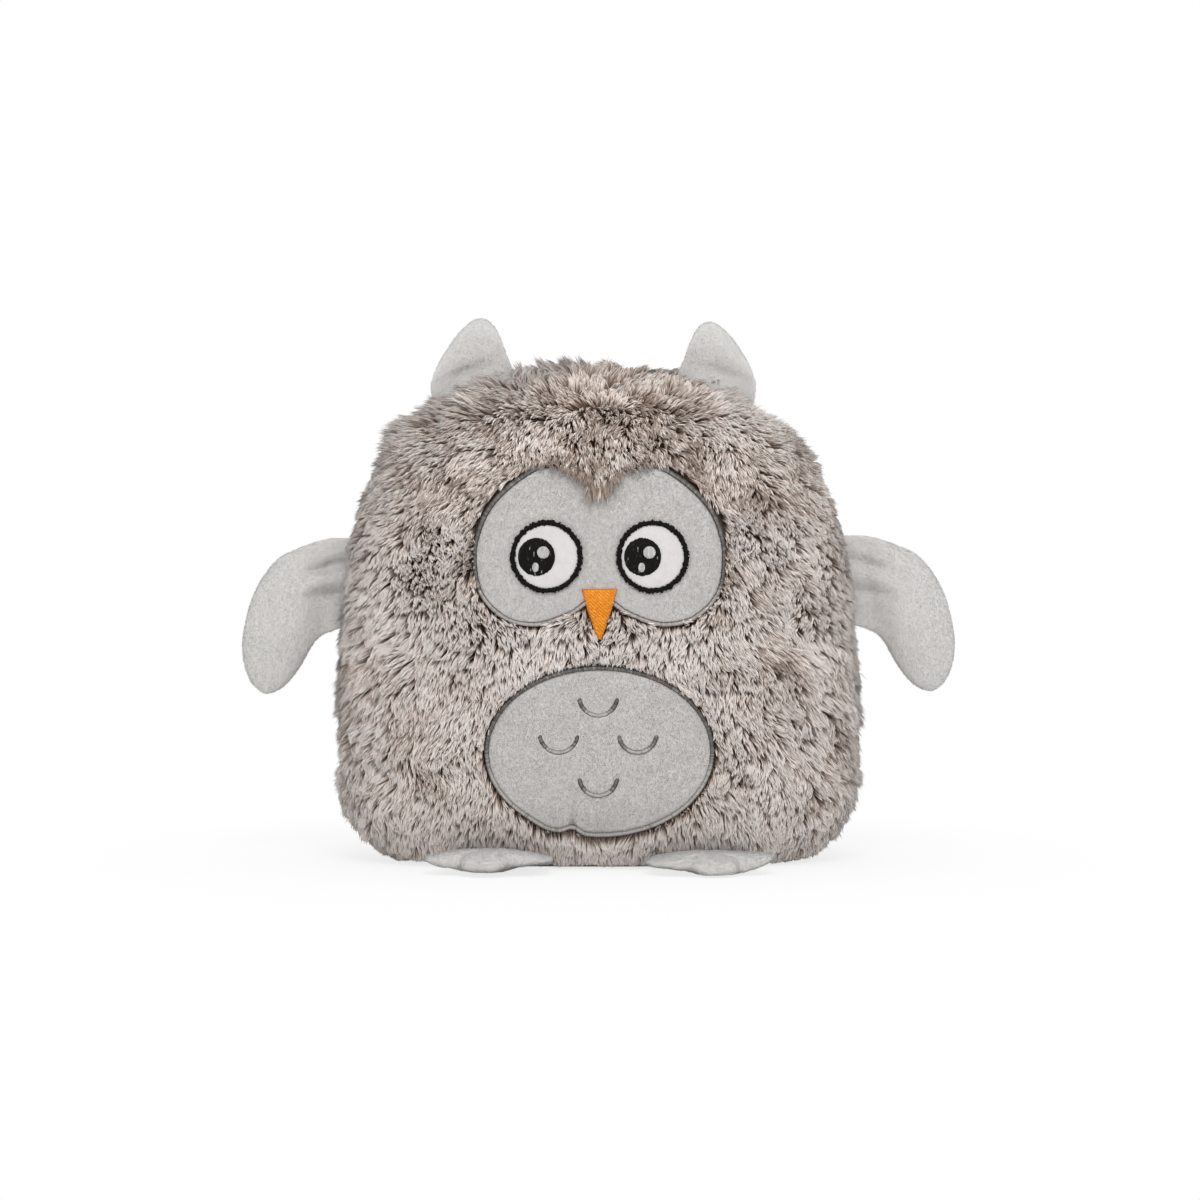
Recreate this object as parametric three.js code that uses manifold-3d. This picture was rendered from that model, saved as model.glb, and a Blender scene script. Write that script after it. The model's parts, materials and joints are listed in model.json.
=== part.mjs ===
// A plush owl, about 21 cm tall, standing on its flat base.
// Millimetres, +Z up. The owl faces -Y, and left and right are as seen from the front.
// The origin is the middle of the base, on the surface it stands on.
// The body is a sewn cover of long-pile fabric round a stuffing core.
// The face, belly, wings, ears and feet are short-pile plush.
// The eyes, beak and feather marks are felt and embroidery that lie in the pile.

import * as THREE from "three";
import { mergeVertices } from "three/addons/utils/BufferGeometryUtils.js";
import Module from "manifold-3d";

const wasm = await Module();
wasm.setup();

// Clearances
const clearance = 0.3; // between sewn or stitched layers that touch
const stuffingGap = 0.6; // round the stuffing core
const overrun = 10; // how far a cutting solid runs past what it cuts

// Body cover: the tips of the pile
const bodyWidth = 208;
const bodyDepth = 110;
const bodyHeight = 195;
const pileThickness = 8; // backing and pile together
const baseTuckWidth = 31; // how far the sides curl in to the base
const baseTuckDepth = 20; // how far the front and back curl in to the base
const baseCurlHeight = 30; // height over which they curl
const seamDip = 2.5; // the pile parts along the side and top seam
const shoulderPower = 6; // how late the width falls away towards the top
const depthPower = 4; // the same for the depth
const depthFall = 0.6;
const sectionPower = 2.4; // 2 is an ellipse, more is squarer

// Base panel
const baseThickness = 2.4;
const baseMargin = 3; // from the edge of the pile to the base's seam

// Patches of short-pile plush, felt and thread, each lying on the one before
const patchSink = 3; // from the tips of the fur down to the patch
const patchThickness = 1.6;
const feltThickness = 1;
const satinHeight = 1; // of a stitched edge over the patch
const ringHeight = 1.3; // of the thread round an eye
const pupilHeight = 0.8;
const glintHeight = 1;
const beakThickness = 2;
const markHeight = 0.8;
const satinWidth = 2; // of the stitched edge of a patch

// Face
const faceWidth = 97.5;
const faceHeight = 62;
const faceMiddle = 124.2; // above the base
// Half of the face's outline, from the dip at its top to the dip at its bottom, as shares of half its sizes.
const faceHalfShares = [
  [0, 0.8],
  [0.2, 0.95],
  [0.44, 1],
  [0.7, 0.82],
  [0.9, 0.46],
  [1, -0.06],
  [0.95, -0.56],
  [0.75, -0.88],
  [0.49, -0.96],
  [0.22, -0.82],
  [0, -0.62],
];
const eyeSpread = 40.7; // between the two eyes' centres
const eyeMiddle = 121;
const ringRadius = 13.7;
const ringWidth = 1.9;
const pupilRadius = 7;
const pupilGlance = 3.8; // how far both pupils look to the left
const bigGlintRadius = 2.4;
const bigGlintAside = 2.6; // from the pupil's centre
const bigGlintAbove = 1.7;
const smallGlintWidth = 2.4;
const smallGlintHeight = 3.5;
const smallGlintAside = -0.4;
const smallGlintBelow = 4;
const beakWidth = 13;
const beakLength = 19.2;
const beakTop = 108.6;
const beakCorner = 0.8;

// Belly
const bellyWidth = 88.3;
const bellyHeight = 66;
const bellyMiddle = 46.3;
const markRadius = 7.1;
const markWidth = 1.5;
const markHalfSweep = 1.5; // radians each side of the lowest point
const sideMarkSpread = 30.3;
const sideMarkRise = 7.1;
const highMarkRise = 21.3;
const lowMarkDrop = 9.5;

// Limbs
const limbSkin = 1.2; // short-pile plush of wings and feet
const earSkin = 1.4;
const rootSkinShare = 0.5; // how thick the plush is where it is sewn to the body
const fullnessPower = 0.7; // less is fuller towards the edge
const limbSeamShare = 0.86; // where the cavity ends, as a share of the way out to the edge
const waddingShare = 0.72; // the same for the wadding inside

// Wings
const wingReach = 36.7;
const wingRoot = 34; // length of the seam in the body's side
const wingDrop = 47.5; // from the middle of the root down to the tip
const wingBulge = 5.2; // each side of the seam
const wingPinch = 17; // over this length the wing flattens towards its root
const wingHeight = 110; // of the root's middle
// From the bottom of the root round the free edge to its top, as shares of the reach and of the drop
const wingEdgeShares = [
  [0.08, -0.42],
  [0.22, -0.52],
  [0.37, -0.76],
  [0.49, -0.905],
  [0.6, -0.975],
  [0.71, -1],
  [0.84, -0.943],
  [0.945, -0.81],
  [1, -0.61],
  [0.99, -0.43],
  [0.94, -0.22],
  [0.84, -0.03],
  [0.69, 0.13],
  [0.5, 0.22],
  [0.25, 0.31],
];
const wingCentreShare = [0.58, -0.36];

// Ears
const earRoot = 35; // length of the seam
const earHeight = 22;
const earBulge = 1.6;
const earPinch = 9;
const earCup = 3.4; // how far the edges stand in front of the middle
const earOut = 48.8; // from the body's middle to the root's middle
// From the outer end of the root round to its inner end, as shares of half the root and of the height
const earEdgeShares = [
  [0.88, 0.15],
  [0.74, 0.31],
  [0.5, 0.51],
  [0.17, 0.71],
  [-0.15, 0.87],
  [-0.45, 0.97],
  [-0.68, 1],
  [-0.87, 0.93],
  [-0.98, 0.76],
  [-1.01, 0.5],
  [-1, 0.22],
];
const earCentreShare = [-0.25, 0.45];

// Feet
const footWidth = 49;
const footLength = 33;
const footRoot = 38; // length of the seam at the front of the base
const footBulge = 3.4;
const soleBulge = 1.3;
const footPinch = 10;
const footOut = 39; // from the body's middle to the root's middle
// From the inner end of the root round the three toes, as shares of half the width and of the length
const footEdgeShares = [
  [0.86, 0.3],
  [0.99, 0.56],
  [0.9, 0.78],
  [0.66, 0.86],
  [0.42, 0.82],
  [0.27, 0.95],
  [0, 1],
  [-0.27, 0.95],
  [-0.42, 0.82],
  [-0.66, 0.86],
  [-0.9, 0.78],
  [-0.99, 0.56],
  [-0.86, 0.3],
];
const footCentreShare = [0, 0.52];

// How finely each form is divided
const coverSteps = 44;
const coverRings = 22;
const coreSteps = 24;
const coreRings = 12;
const patchSteps = 44;
const roundSteps = 16;
const smallRoundSteps = 10;
const markSteps = 6;
const wingSteps = 20;
const earSteps = 14;
const footSteps = 26;
const rootSteps = 4;

// Solids

function solidOf(geometry) {
  const plain = geometry.clone();
  plain.deleteAttribute("normal");
  plain.deleteAttribute("uv");
  const merged = mergeVertices(plain);
  const vertProperties = merged.attributes.position.array;
  const triVerts = new Uint32Array(merged.index.array);
  return new wasm.Manifold(new wasm.Mesh({ numProp: 3, vertProperties, triVerts }));
}

function geometryOf(solid) {
  const mesh = solid.getMesh();
  const geometry = new THREE.BufferGeometry();
  geometry.setAttribute("position", new THREE.BufferAttribute(mesh.vertProperties, 3));
  geometry.setIndex(new THREE.BufferAttribute(mesh.triVerts, 1));
  geometry.computeVertexNormals();
  return geometry;
}

// A closed skin from one end point through rings of points to the other end point.
function closedSkin(first, rings, last) {
  const points = [first, ...rings.flat(), last];
  const around = rings[0].length;
  const at = (ring, step) => 1 + ring * around + (step % around);
  const index = [];
  for (let step = 0; step < around; step++) {
    index.push(0, at(0, step + 1), at(0, step));
    for (let ring = 0; ring + 1 < rings.length; ring++) {
      index.push(at(ring, step), at(ring, step + 1), at(ring + 1, step + 1));
      index.push(at(ring, step), at(ring + 1, step + 1), at(ring + 1, step));
    }
    index.push(points.length - 1, at(rings.length - 1, step), at(rings.length - 1, step + 1));
  }
  const geometry = new THREE.BufferGeometry().setFromPoints(points);
  geometry.setIndex(facingOut(points, index));
  geometry.computeVertexNormals();
  return geometry;
}

// The triangles, each turned round if the skin they make is inside out.
function facingOut(points, index) {
  const across = new THREE.Vector3();
  let volume = 0;
  for (let i = 0; i < index.length; i += 3) {
    across.crossVectors(points[index[i + 1]], points[index[i + 2]]);
    volume += points[index[i]].dot(across);
  }
  return volume < 0 ? index.toReversed() : index;
}

// The body's form

const tuckAt = (z) => 1 - Math.sqrt(1 - Math.max(0, 1 - z / baseCurlHeight) ** 2);

function halfWidthAt(z, inset) {
  const fall = Math.sqrt(Math.max(0, 1 - (z / (bodyHeight - inset)) ** shoulderPower));
  return (bodyWidth / 2 - inset) * fall - baseTuckWidth * tuckAt(z);
}

function halfDepthAt(z, inset) {
  const fall = Math.max(0, 1 - (z / (bodyHeight - inset)) ** depthPower) ** depthFall;
  return (bodyDepth / 2 - inset) * fall - baseTuckDepth * tuckAt(z);
}

const towardsCorner = (share) => Math.sign(share) * Math.abs(share) ** (2 / sectionPower);

// One level section of the body, and the dip of its side seam.
function sectionAt(z, inset, dip, steps) {
  const points = [];
  for (let step = 0; step < steps; step++) {
    const angle = (step / steps) * 2 * Math.PI;
    const x = halfWidthAt(z, inset) * towardsCorner(Math.cos(angle));
    const y = halfDepthAt(z, inset) * towardsCorner(Math.sin(angle));
    const onSeam = step === 0 || step === steps / 2;
    const depth = onSeam ? Math.min(dip, Math.abs(x) / 2) : 0;
    points.push(new THREE.Vector3(x - Math.sign(x) * depth, y, z));
  }
  return points;
}

function bodyForm({ inset, floor, dip, steps, rings }) {
  const top = bodyHeight - inset;
  const sections = [];
  for (let ring = 0; ring < rings; ring++) {
    const share = (1 - Math.cos((ring / rings) * Math.PI)) / 2;
    sections.push(sectionAt(floor + (top - floor) * share, inset, dip, steps));
  }
  const first = new THREE.Vector3(0, 0, floor);
  const last = new THREE.Vector3(0, 0, top - dip);
  return solidOf(closedSkin(first, sections, last));
}

const envelope = bodyForm({ inset: 0, floor: 0, dip: seamDip, steps: coverSteps, rings: coverRings });

// Pieces that lie in the fur of the front

// A flat outline in X and Z, drawn out along Y through the front of the body.
function frontPrism(outline, steps) {
  const geometry = new THREE.ExtrudeGeometry(outline, {
    depth: bodyDepth,
    bevelEnabled: false,
    curveSegments: steps,
  });
  geometry.rotateX(Math.PI / 2);
  return solidOf(geometry);
}

// The part of a prism between two depths under the tips of the fur.
function layer(prism, outerDepth, innerDepth) {
  const under = envelope.translate([0, outerDepth, 0]);
  const over = envelope.translate([0, innerDepth, 0]);
  return prism.intersect(under).subtract(over);
}

// An outline moved outwards, or inwards if the distance is negative.
function grown(outline, distance, steps) {
  const points = outline.getPoints(steps);
  if (points[0].distanceTo(points.at(-1)) < clearance / 2) points.pop();
  if (THREE.ShapeUtils.isClockWise(points)) points.reverse();
  const moved = points.map((point, i) => {
    const before = points.at(i - 1);
    const after = points[(i + 1) % points.length];
    const along = after.clone().sub(before).normalize();
    return new THREE.Vector2(point.x + along.y * distance, point.y - along.x * distance);
  });
  return new THREE.Shape(moved);
}

function band(outline, outwards, inwards, steps) {
  const shape = grown(outline, outwards, steps);
  shape.holes.push(grown(outline, -inwards, steps));
  return shape;
}

const oval = (x, z, halfWidth, halfHeight) =>
  new THREE.Shape().absellipse(x, z, halfWidth, halfHeight, 0, 2 * Math.PI);

const disc = (x, z, radius) => oval(x, z, radius, radius);

function faceOutline() {
  const mirrored = faceHalfShares.slice(1, -1).reverse();
  const shares = [...faceHalfShares, ...mirrored.map(([across, up]) => [-across, up])];
  const points = shares.map(
    ([across, up]) => new THREE.Vector3((across * faceWidth) / 2, faceMiddle + (up * faceHeight) / 2, 0),
  );
  const curve = new THREE.CatmullRomCurve3(points, true, "centripetal");
  const round = curve.getPoints(patchSteps).slice(0, -1);
  return new THREE.Shape(round.map((point) => new THREE.Vector2(point.x, point.y)));
}

const bellyOutline = () => oval(0, bellyMiddle, bellyWidth / 2, bellyHeight / 2);

// A wedge with a straight top edge, slightly full sides and small round corners.
function beakOutline() {
  const half = beakWidth / 2;
  const tip = beakTop - beakLength;
  const shape = new THREE.Shape();
  shape.moveTo(-half + beakCorner, beakTop);
  shape.quadraticCurveTo(-half, beakTop, -half, beakTop - beakCorner);
  shape.quadraticCurveTo(-beakWidth / 4, (beakTop + tip) / 2 - beakCorner, -beakCorner, tip + beakCorner / 2);
  shape.quadraticCurveTo(0, tip, beakCorner, tip + beakCorner / 2);
  shape.quadraticCurveTo(beakWidth / 4, (beakTop + tip) / 2 - beakCorner, half, beakTop - beakCorner);
  shape.quadraticCurveTo(half, beakTop, half - beakCorner, beakTop);
  shape.closePath();
  return shape;
}

// A stitched feather: a band along the lower part of a circle.
function markOutline(x, z) {
  const lowest = -Math.PI / 2;
  const from = lowest - markHalfSweep;
  const to = lowest + markHalfSweep;
  const shape = new THREE.Shape();
  shape.absarc(x, z, markRadius + markWidth / 2, from, to, false);
  shape.absarc(x, z, markRadius - markWidth / 2, to, from, true);
  shape.closePath();
  return shape;
}

// Depths under the tips of the fur
const onPatch = patchSink - clearance;
const patchBack = patchSink + patchThickness;
const onFelt = onPatch - feltThickness - clearance;

function frontPiece(outline, steps, innerDepth, thickness) {
  return layer(frontPrism(outline, steps), innerDepth - thickness, innerDepth);
}

// The hollow in the fur that a front piece lies in
function frontPocket(outline, steps, innerDepth) {
  return frontPrism(grown(outline, clearance, steps), steps).subtract(
    envelope.translate([0, innerDepth + clearance, 0]),
  );
}

// Body cover, base and stuffing

function baseOutline(inset) {
  const section = sectionAt(0, 0, 0, coverSteps);
  const outline = new THREE.Shape(section.map((point) => new THREE.Vector2(point.x, point.y)));
  return grown(outline, -inset, coverSteps);
}

function basePlate(inset, from, to) {
  const geometry = new THREE.ExtrudeGeometry(baseOutline(inset), {
    depth: to - from,
    bevelEnabled: false,
  });
  geometry.translate(0, 0, from);
  return solidOf(geometry);
}

function cover() {
  const roof = baseThickness + clearance;
  const cavity = bodyForm({ inset: pileThickness, floor: roof, dip: 0, steps: coreSteps, rings: coreRings });
  return envelope
    .subtract(cavity)
    .subtract(basePlate(baseMargin, -overrun, roof))
    .subtract(frontPocket(faceOutline(), patchSteps, patchBack))
    .subtract(frontPocket(bellyOutline(), patchSteps, patchBack))
    .subtract(frontPocket(beakOutline(), smallRoundSteps, onPatch));
}

// The half of a solid in front of the side seam, for side -1, or behind it, for side 1.
function halfOf(solid, side) {
  const box = new THREE.BoxGeometry(bodyWidth + overrun, bodyDepth, bodyHeight + 2 * overrun);
  box.translate(0, (side * (bodyDepth + clearance)) / 2, bodyHeight / 2);
  return solid.intersect(solidOf(box));
}

// Limbs: two panels of plush sewn round their edge, with wadding between them

// The seam's outline in a limb's own plane: the free edge as a smooth curve, and then the root.
// The root runs across the origin, and its two ends drop back by sag where the body curves away.
function limbOutline({ shares, across, along, rootEnds, sag, freeSteps }) {
  const [from, to] = rootEnds.map(([u, v]) => new THREE.Vector3(u, v, 0));
  const back = new THREE.Vector3(from.y - to.y, to.x - from.x, 0).normalize().multiplyScalar(sag);
  const free = shares.map(([u, v]) => new THREE.Vector3(u * across, v * along, 0));
  const ends = [from.clone().add(back), to.clone().add(back)];
  const curve = new THREE.CatmullRomCurve3([ends[0], ...free, ends[1]], false, "centripetal");
  const outline = curve.getSpacedPoints(freeSteps);
  for (let step = 1; step < rootSteps; step++) {
    const share = step / rootSteps;
    outline.push(to.clone().lerp(from, share).addScaledVector(back, (2 * share - 1) ** 2));
  }
  return outline;
}

// A ring of points at a share of the way from the limb's centre to its outline. rise gives their height
// from how full the limb is there, nothing at its edge, and how firm, nothing at its root.
function limbRing(limb, share, rise) {
  return limb.outline.map((edge) => limbPoint(limb, limb.centre.clone().lerp(edge, share), share, rise));
}

function limbPoint(limb, flat, share, rise) {
  const firm = THREE.MathUtils.smoothstep(limb.fromRoot(flat), 0, limb.pinch);
  const full = (1 - share ** 2) ** fullnessPower * firm;
  return new THREE.Vector3(flat.x, rise(full, firm) + limb.bend(flat), flat.y);
}

const limbPole = (limb, rise) => limbPoint(limb, limb.centre, 0, rise);

// One panel, on side -1 or 1 of the seam. hollow is where its cavity ends, or 0 for a panel without one.
function limbPanel(limb, side, skin, bulge, hollow) {
  const thickness = (firm) => skin * THREE.MathUtils.lerp(rootSkinShare, 1, firm);
  const outer = (full, firm) => side * (clearance / 2 + thickness(firm) + bulge * full);
  const inner = (full) => side * (clearance / 2 + bulge * full);
  const under = () => (side * clearance) / 2;
  const rings = limb.outerShares.map((share) => limbRing(limb, share, outer));
  rings.push(limbRing(limb, 1, under));
  if (!hollow) return closedSkin(limbPole(limb, outer), rings, limbPole(limb, under));
  rings.push(limbRing(limb, hollow, under));
  rings.push(...limb.innerShares.map((share) => limbRing(limb, hollow * share, inner)));
  return closedSkin(limbPole(limb, outer), rings, limbPole(limb, inner));
}

// The wadding inside, with its own bulge on each side.
function limbWadding(limb, bulges) {
  const rise = (side, bulge) => (full) => side * (bulge * full - clearance / 2);
  const [back, front] = [rise(-1, bulges[0]), rise(1, bulges[1])];
  const shares = limb.innerShares.toReversed();
  const rings = [
    ...shares.map((share) => limbRing(limb, waddingShare * share, back)),
    ...shares.toReversed().map((share) => limbRing(limb, waddingShare * share, front)),
  ];
  return closedSkin(limbPole(limb, back), rings, limbPole(limb, front));
}

const flatLimb = () => 0;

function wingLimb() {
  const rootEnds = [
    [0, -wingRoot / 2],
    [0, wingRoot / 2],
  ];
  return {
    outline: limbOutline({
      shares: wingEdgeShares,
      across: wingReach,
      along: wingDrop,
      rootEnds,
      sag: 0,
      freeSteps: wingSteps,
    }),
    centre: new THREE.Vector3(wingCentreShare[0] * wingReach, wingCentreShare[1] * wingDrop, 0),
    fromRoot: (flat) => flat.x,
    pinch: wingPinch,
    bend: flatLimb,
    outerShares: [0.3, 0.6, 0.85, 1],
    innerShares: [1, 0.7, 0.35],
  };
}

function earLimb(sag) {
  const half = earRoot / 2;
  const rootEnds = [
    [half, 0],
    [-half, 0],
  ];
  const rising = (flat) => Math.sin(Math.PI * THREE.MathUtils.clamp(flat.y / earHeight, 0, 1));
  return {
    outline: limbOutline({
      shares: earEdgeShares,
      across: half,
      along: earHeight,
      rootEnds,
      sag,
      freeSteps: earSteps,
    }),
    centre: new THREE.Vector3(earCentreShare[0] * half, earCentreShare[1] * earHeight, 0),
    fromRoot: (flat) => flat.y,
    pinch: earPinch,
    bend: (flat) => -earCup * (flat.x / half) ** 2 * rising(flat),
    outerShares: [0.4, 0.75, 1],
    innerShares: [],
  };
}

function footLimb(sag) {
  const half = footRoot / 2;
  const rootEnds = [
    [half, 0],
    [-half, 0],
  ];
  return {
    outline: limbOutline({
      shares: footEdgeShares,
      across: footWidth / 2,
      along: footLength,
      rootEnds,
      sag,
      freeSteps: footSteps,
    }),
    centre: new THREE.Vector3(0, footCentreShare[1] * footLength, 0),
    fromRoot: (flat) => flat.y,
    pinch: footPinch,
    bend: flatLimb,
    outerShares: [0.45, 0.8, 1],
    innerShares: [1, 0.55],
  };
}

// Materials

const cloth = (color, roughness = 0.95) => new THREE.MeshStandardMaterial({ color, roughness, metalness: 0 });
const furFabric = cloth(0xa99e98);
const plushFabric = cloth(0xc8c6c3);
const whiteFelt = cloth(0xe6e3e1);
const blackThread = cloth(0x1c1a19, 0.6);
const silverThread = cloth(0xcfcdca, 0.6);
const greyThread = cloth(0x8f8c89, 0.7);
const orangeThread = cloth(0xe59132, 0.7);
const polyesterFill = cloth(0xf1f0ec);

// Assembly

const owl = new THREE.Group();

function add(parent, name, geometry, material) {
  const mesh = new THREE.Mesh(geometry, material);
  mesh.name = name;
  parent.add(mesh);
  return mesh;
}

const addSolid = (name, solid, material) => add(owl, name, geometryOf(solid), material);

const wholeCover = cover();
addSolid("front_fur_panel", halfOf(wholeCover, -1), furFabric);
addSolid("back_fur_panel", halfOf(wholeCover, 1), furFabric);
addSolid("base_panel", basePlate(baseMargin + clearance, 0, baseThickness), plushFabric);
const core = { inset: pileThickness + stuffingGap, floor: baseThickness + stuffingGap };
addSolid("body_stuffing", bodyForm({ ...core, dip: 0, steps: coreSteps, rings: coreRings }), polyesterFill);

addSolid("face_patch", frontPiece(faceOutline(), patchSteps, patchBack, patchThickness), plushFabric);
addSolid("belly_patch", frontPiece(bellyOutline(), patchSteps, patchBack, patchThickness), plushFabric);

const beak = beakOutline();
const faceEdge = frontPrism(band(faceOutline(), 0, satinWidth, patchSteps), patchSteps);
const beakRoom = frontPrism(grown(beak, clearance, smallRoundSteps), smallRoundSteps);
addSolid(
  "face_edge_stitching",
  layer(faceEdge.subtract(beakRoom), onPatch - satinHeight, onPatch),
  greyThread,
);
addSolid(
  "belly_edge_stitching",
  frontPiece(band(bellyOutline(), 0, satinWidth, patchSteps), patchSteps, onPatch, satinHeight),
  greyThread,
);
addSolid("beak", frontPiece(beak, smallRoundSteps, onPatch, beakThickness), orangeThread);

for (const [name, side] of [
  ["left", -1],
  ["right", 1],
]) {
  const eyeX = (side * eyeSpread) / 2;
  const pupilX = eyeX - pupilGlance;
  const eye = disc(eyeX, eyeMiddle, ringRadius);
  const felt = disc(eyeX, eyeMiddle, ringRadius - ringWidth - clearance);
  const ring = disc(eyeX, eyeMiddle, ringRadius);
  ring.holes.push(disc(eyeX, eyeMiddle, ringRadius - ringWidth));
  const bigGlint = (room) => disc(pupilX + bigGlintAside, eyeMiddle + bigGlintAbove, bigGlintRadius + room);
  const smallGlint = (room) =>
    oval(
      pupilX + smallGlintAside,
      eyeMiddle - smallGlintBelow,
      smallGlintWidth / 2 + room,
      smallGlintHeight / 2 + room,
    );
  const pupil = disc(pupilX, eyeMiddle, pupilRadius);
  pupil.holes.push(bigGlint(clearance), smallGlint(clearance));
  addSolid(`${name}_eye_felt`, frontPiece(felt, roundSteps, onPatch, feltThickness), whiteFelt);
  addSolid(`${name}_eye_ring`, frontPiece(ring, roundSteps, onPatch, ringHeight), blackThread);
  addSolid(`${name}_pupil`, frontPiece(pupil, smallRoundSteps, onFelt, pupilHeight), blackThread);
  addSolid(`${name}_big_glint`, frontPiece(bigGlint(0), smallRoundSteps, onFelt, glintHeight), silverThread);
  addSolid(`${name}_small_glint`, frontPiece(smallGlint(0), smallRoundSteps, onFelt, glintHeight), silverThread);
}

for (const [name, x, rise] of [
  ["high", 0, highMarkRise],
  ["left", -sideMarkSpread / 2, sideMarkRise],
  ["right", sideMarkSpread / 2, sideMarkRise],
  ["low", 0, -lowMarkDrop],
]) {
  const outline = markOutline(x, bellyMiddle + rise);
  addSolid(`${name}_feather_mark`, frontPiece(outline, markSteps, onPatch, markHeight), greyThread);
}

// Each limb is a group whose own origin lies on its seam, where it hinges.

// A limb's root clears the body by enough to turn about the middle of its own thickness.
const roomFor = (skin) => clearance / 2 + skin * rootSkinShare + clearance;

// The side and top seam in the bottom of its dip, at a height.
const seamOutAt = (z) => halfWidthAt(z, 0) - seamDip;

// The height at which the seam lies this far out.
const seamHeightAt = (out) =>
  bodyHeight * (1 - ((out + seamDip) / (bodyWidth / 2)) ** 2) ** (1 / shoulderPower);

// How far forward the front of the body lies at a height.
function frontAt(x, z) {
  const share = (x / halfWidthAt(z, 0)) ** sectionPower;
  return halfDepthAt(z, 0) * (1 - share) ** (1 / sectionPower);
}

// A chord over a convex curve: its slope, and how far the curve stands over its middle.
function chordOf(curve, middle, length) {
  const [near, centre, far] = [-0.5, 0, 0.5].map((share) => curve(middle + share * length));
  const slope = Math.atan2(near - far, length);
  return { slope, sag: (centre - (near + far) / 2) * Math.cos(slope), centre };
}

function wingPlace() {
  const chord = chordOf(seamOutAt, wingHeight, wingRoot);
  return { out: chord.centre + roomFor(limbSkin), lean: chord.slope };
}

function earPlace() {
  const chord = chordOf(seamHeightAt, earOut, earRoot);
  const room = roomFor(earSkin);
  const out = earOut + room * Math.sin(chord.slope);
  return { out, up: chord.centre + room * Math.cos(chord.slope), lean: chord.slope, sag: chord.sag };
}

function footPlace() {
  const up = clearance / 2 + limbSkin + soleBulge;
  const room = roomFor(limbSkin);
  const chord = chordOf((x) => frontAt(x, up + room), footOut, footRoot);
  const forward = chord.centre + clearance * Math.cos(chord.slope);
  return { forward, up, turn: chord.slope, sag: chord.sag };
}

const wing = wingLimb();
const ear = earLimb(earPlace().sag);
const foot = footLimb(footPlace().sag);

for (const [name, side] of [
  ["left", -1],
  ["right", 1],
]) {
  // Right limbs are built as drawn, and left ones are their mirror images.
  const mirrored = new THREE.Group();
  mirrored.scale.x = side;
  owl.add(mirrored);

  const wingGroup = new THREE.Group();
  wingGroup.position.set(wingPlace().out, 0, wingHeight);
  wingGroup.rotation.y = -wingPlace().lean;
  mirrored.add(wingGroup);
  const wingFront = limbPanel(wing, -1, limbSkin, wingBulge, limbSeamShare);
  const wingBack = limbPanel(wing, 1, limbSkin, wingBulge, limbSeamShare);
  add(wingGroup, `${name}_wing_front_panel`, wingFront, plushFabric);
  add(wingGroup, `${name}_wing_back_panel`, wingBack, plushFabric);
  add(wingGroup, `${name}_wing_wadding`, limbWadding(wing, [wingBulge, wingBulge]), polyesterFill);

  const earGroup = new THREE.Group();
  earGroup.position.set(earPlace().out, 0, earPlace().up);
  earGroup.rotation.y = earPlace().lean;
  mirrored.add(earGroup);
  add(earGroup, `${name}_ear_front_panel`, limbPanel(ear, -1, earSkin, earBulge, 0), plushFabric);
  add(earGroup, `${name}_ear_back_panel`, limbPanel(ear, 1, earSkin, earBulge, 0), plushFabric);

  const footGroup = new THREE.Group();
  footGroup.position.set(footOut, -footPlace().forward, footPlace().up);
  footGroup.rotation.set(Math.PI / 2, 0, footPlace().turn, "ZYX");
  mirrored.add(footGroup);
  const sole = limbPanel(foot, -1, limbSkin, soleBulge, limbSeamShare);
  const footTop = limbPanel(foot, 1, limbSkin, footBulge, limbSeamShare);
  add(footGroup, `${name}_foot_sole_panel`, sole, plushFabric);
  add(footGroup, `${name}_foot_top_panel`, footTop, plushFabric);
  add(footGroup, `${name}_foot_wadding`, limbWadding(foot, [soleBulge, footBulge]), polyesterFill);
}

export default owl;
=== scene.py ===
import json
import math

import bpy
import numpy as np
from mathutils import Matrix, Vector
from mathutils.bvhtree import BVHTree
from mathutils.kdtree import KDTree


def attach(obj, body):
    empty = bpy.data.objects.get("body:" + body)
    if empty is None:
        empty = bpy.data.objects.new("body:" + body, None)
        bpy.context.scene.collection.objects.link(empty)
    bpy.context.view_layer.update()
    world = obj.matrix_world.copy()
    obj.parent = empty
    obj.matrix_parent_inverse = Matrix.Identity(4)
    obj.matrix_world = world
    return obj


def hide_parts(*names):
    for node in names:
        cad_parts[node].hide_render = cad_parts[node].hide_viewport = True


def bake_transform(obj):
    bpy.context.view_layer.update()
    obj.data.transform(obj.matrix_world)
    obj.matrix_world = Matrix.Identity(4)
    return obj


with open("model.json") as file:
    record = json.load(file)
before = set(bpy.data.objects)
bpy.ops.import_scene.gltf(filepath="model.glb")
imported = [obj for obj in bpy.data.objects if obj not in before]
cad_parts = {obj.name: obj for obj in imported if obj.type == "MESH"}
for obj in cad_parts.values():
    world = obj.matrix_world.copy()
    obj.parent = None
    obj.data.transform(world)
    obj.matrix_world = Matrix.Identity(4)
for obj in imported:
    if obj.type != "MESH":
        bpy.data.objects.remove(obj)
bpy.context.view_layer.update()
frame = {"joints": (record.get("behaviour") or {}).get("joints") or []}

# A plush owl: long-pile body, short-pile face, belly, wings, ears and feet, embroidered eyes and beak.
# Lengths here are millimetres, and toMetres turns them into Blender's when a mesh is made.
toMetres = 0.001
rng = np.random.default_rng(20)


# small helpers

def unit(vectors):
    return vectors / np.maximum(np.linalg.norm(vectors, axis=-1, keepdims=True), 1e-9)


def smoothStep(value, low, high):
    share = np.clip((value - low) / (high - low), 0, 1)
    return share * share * (3 - 2 * share)


def bump(value, middle, width, power=2):
    # 1 at the middle, falling off over the width
    return np.exp(-(((value - middle) / width) ** power))


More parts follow.
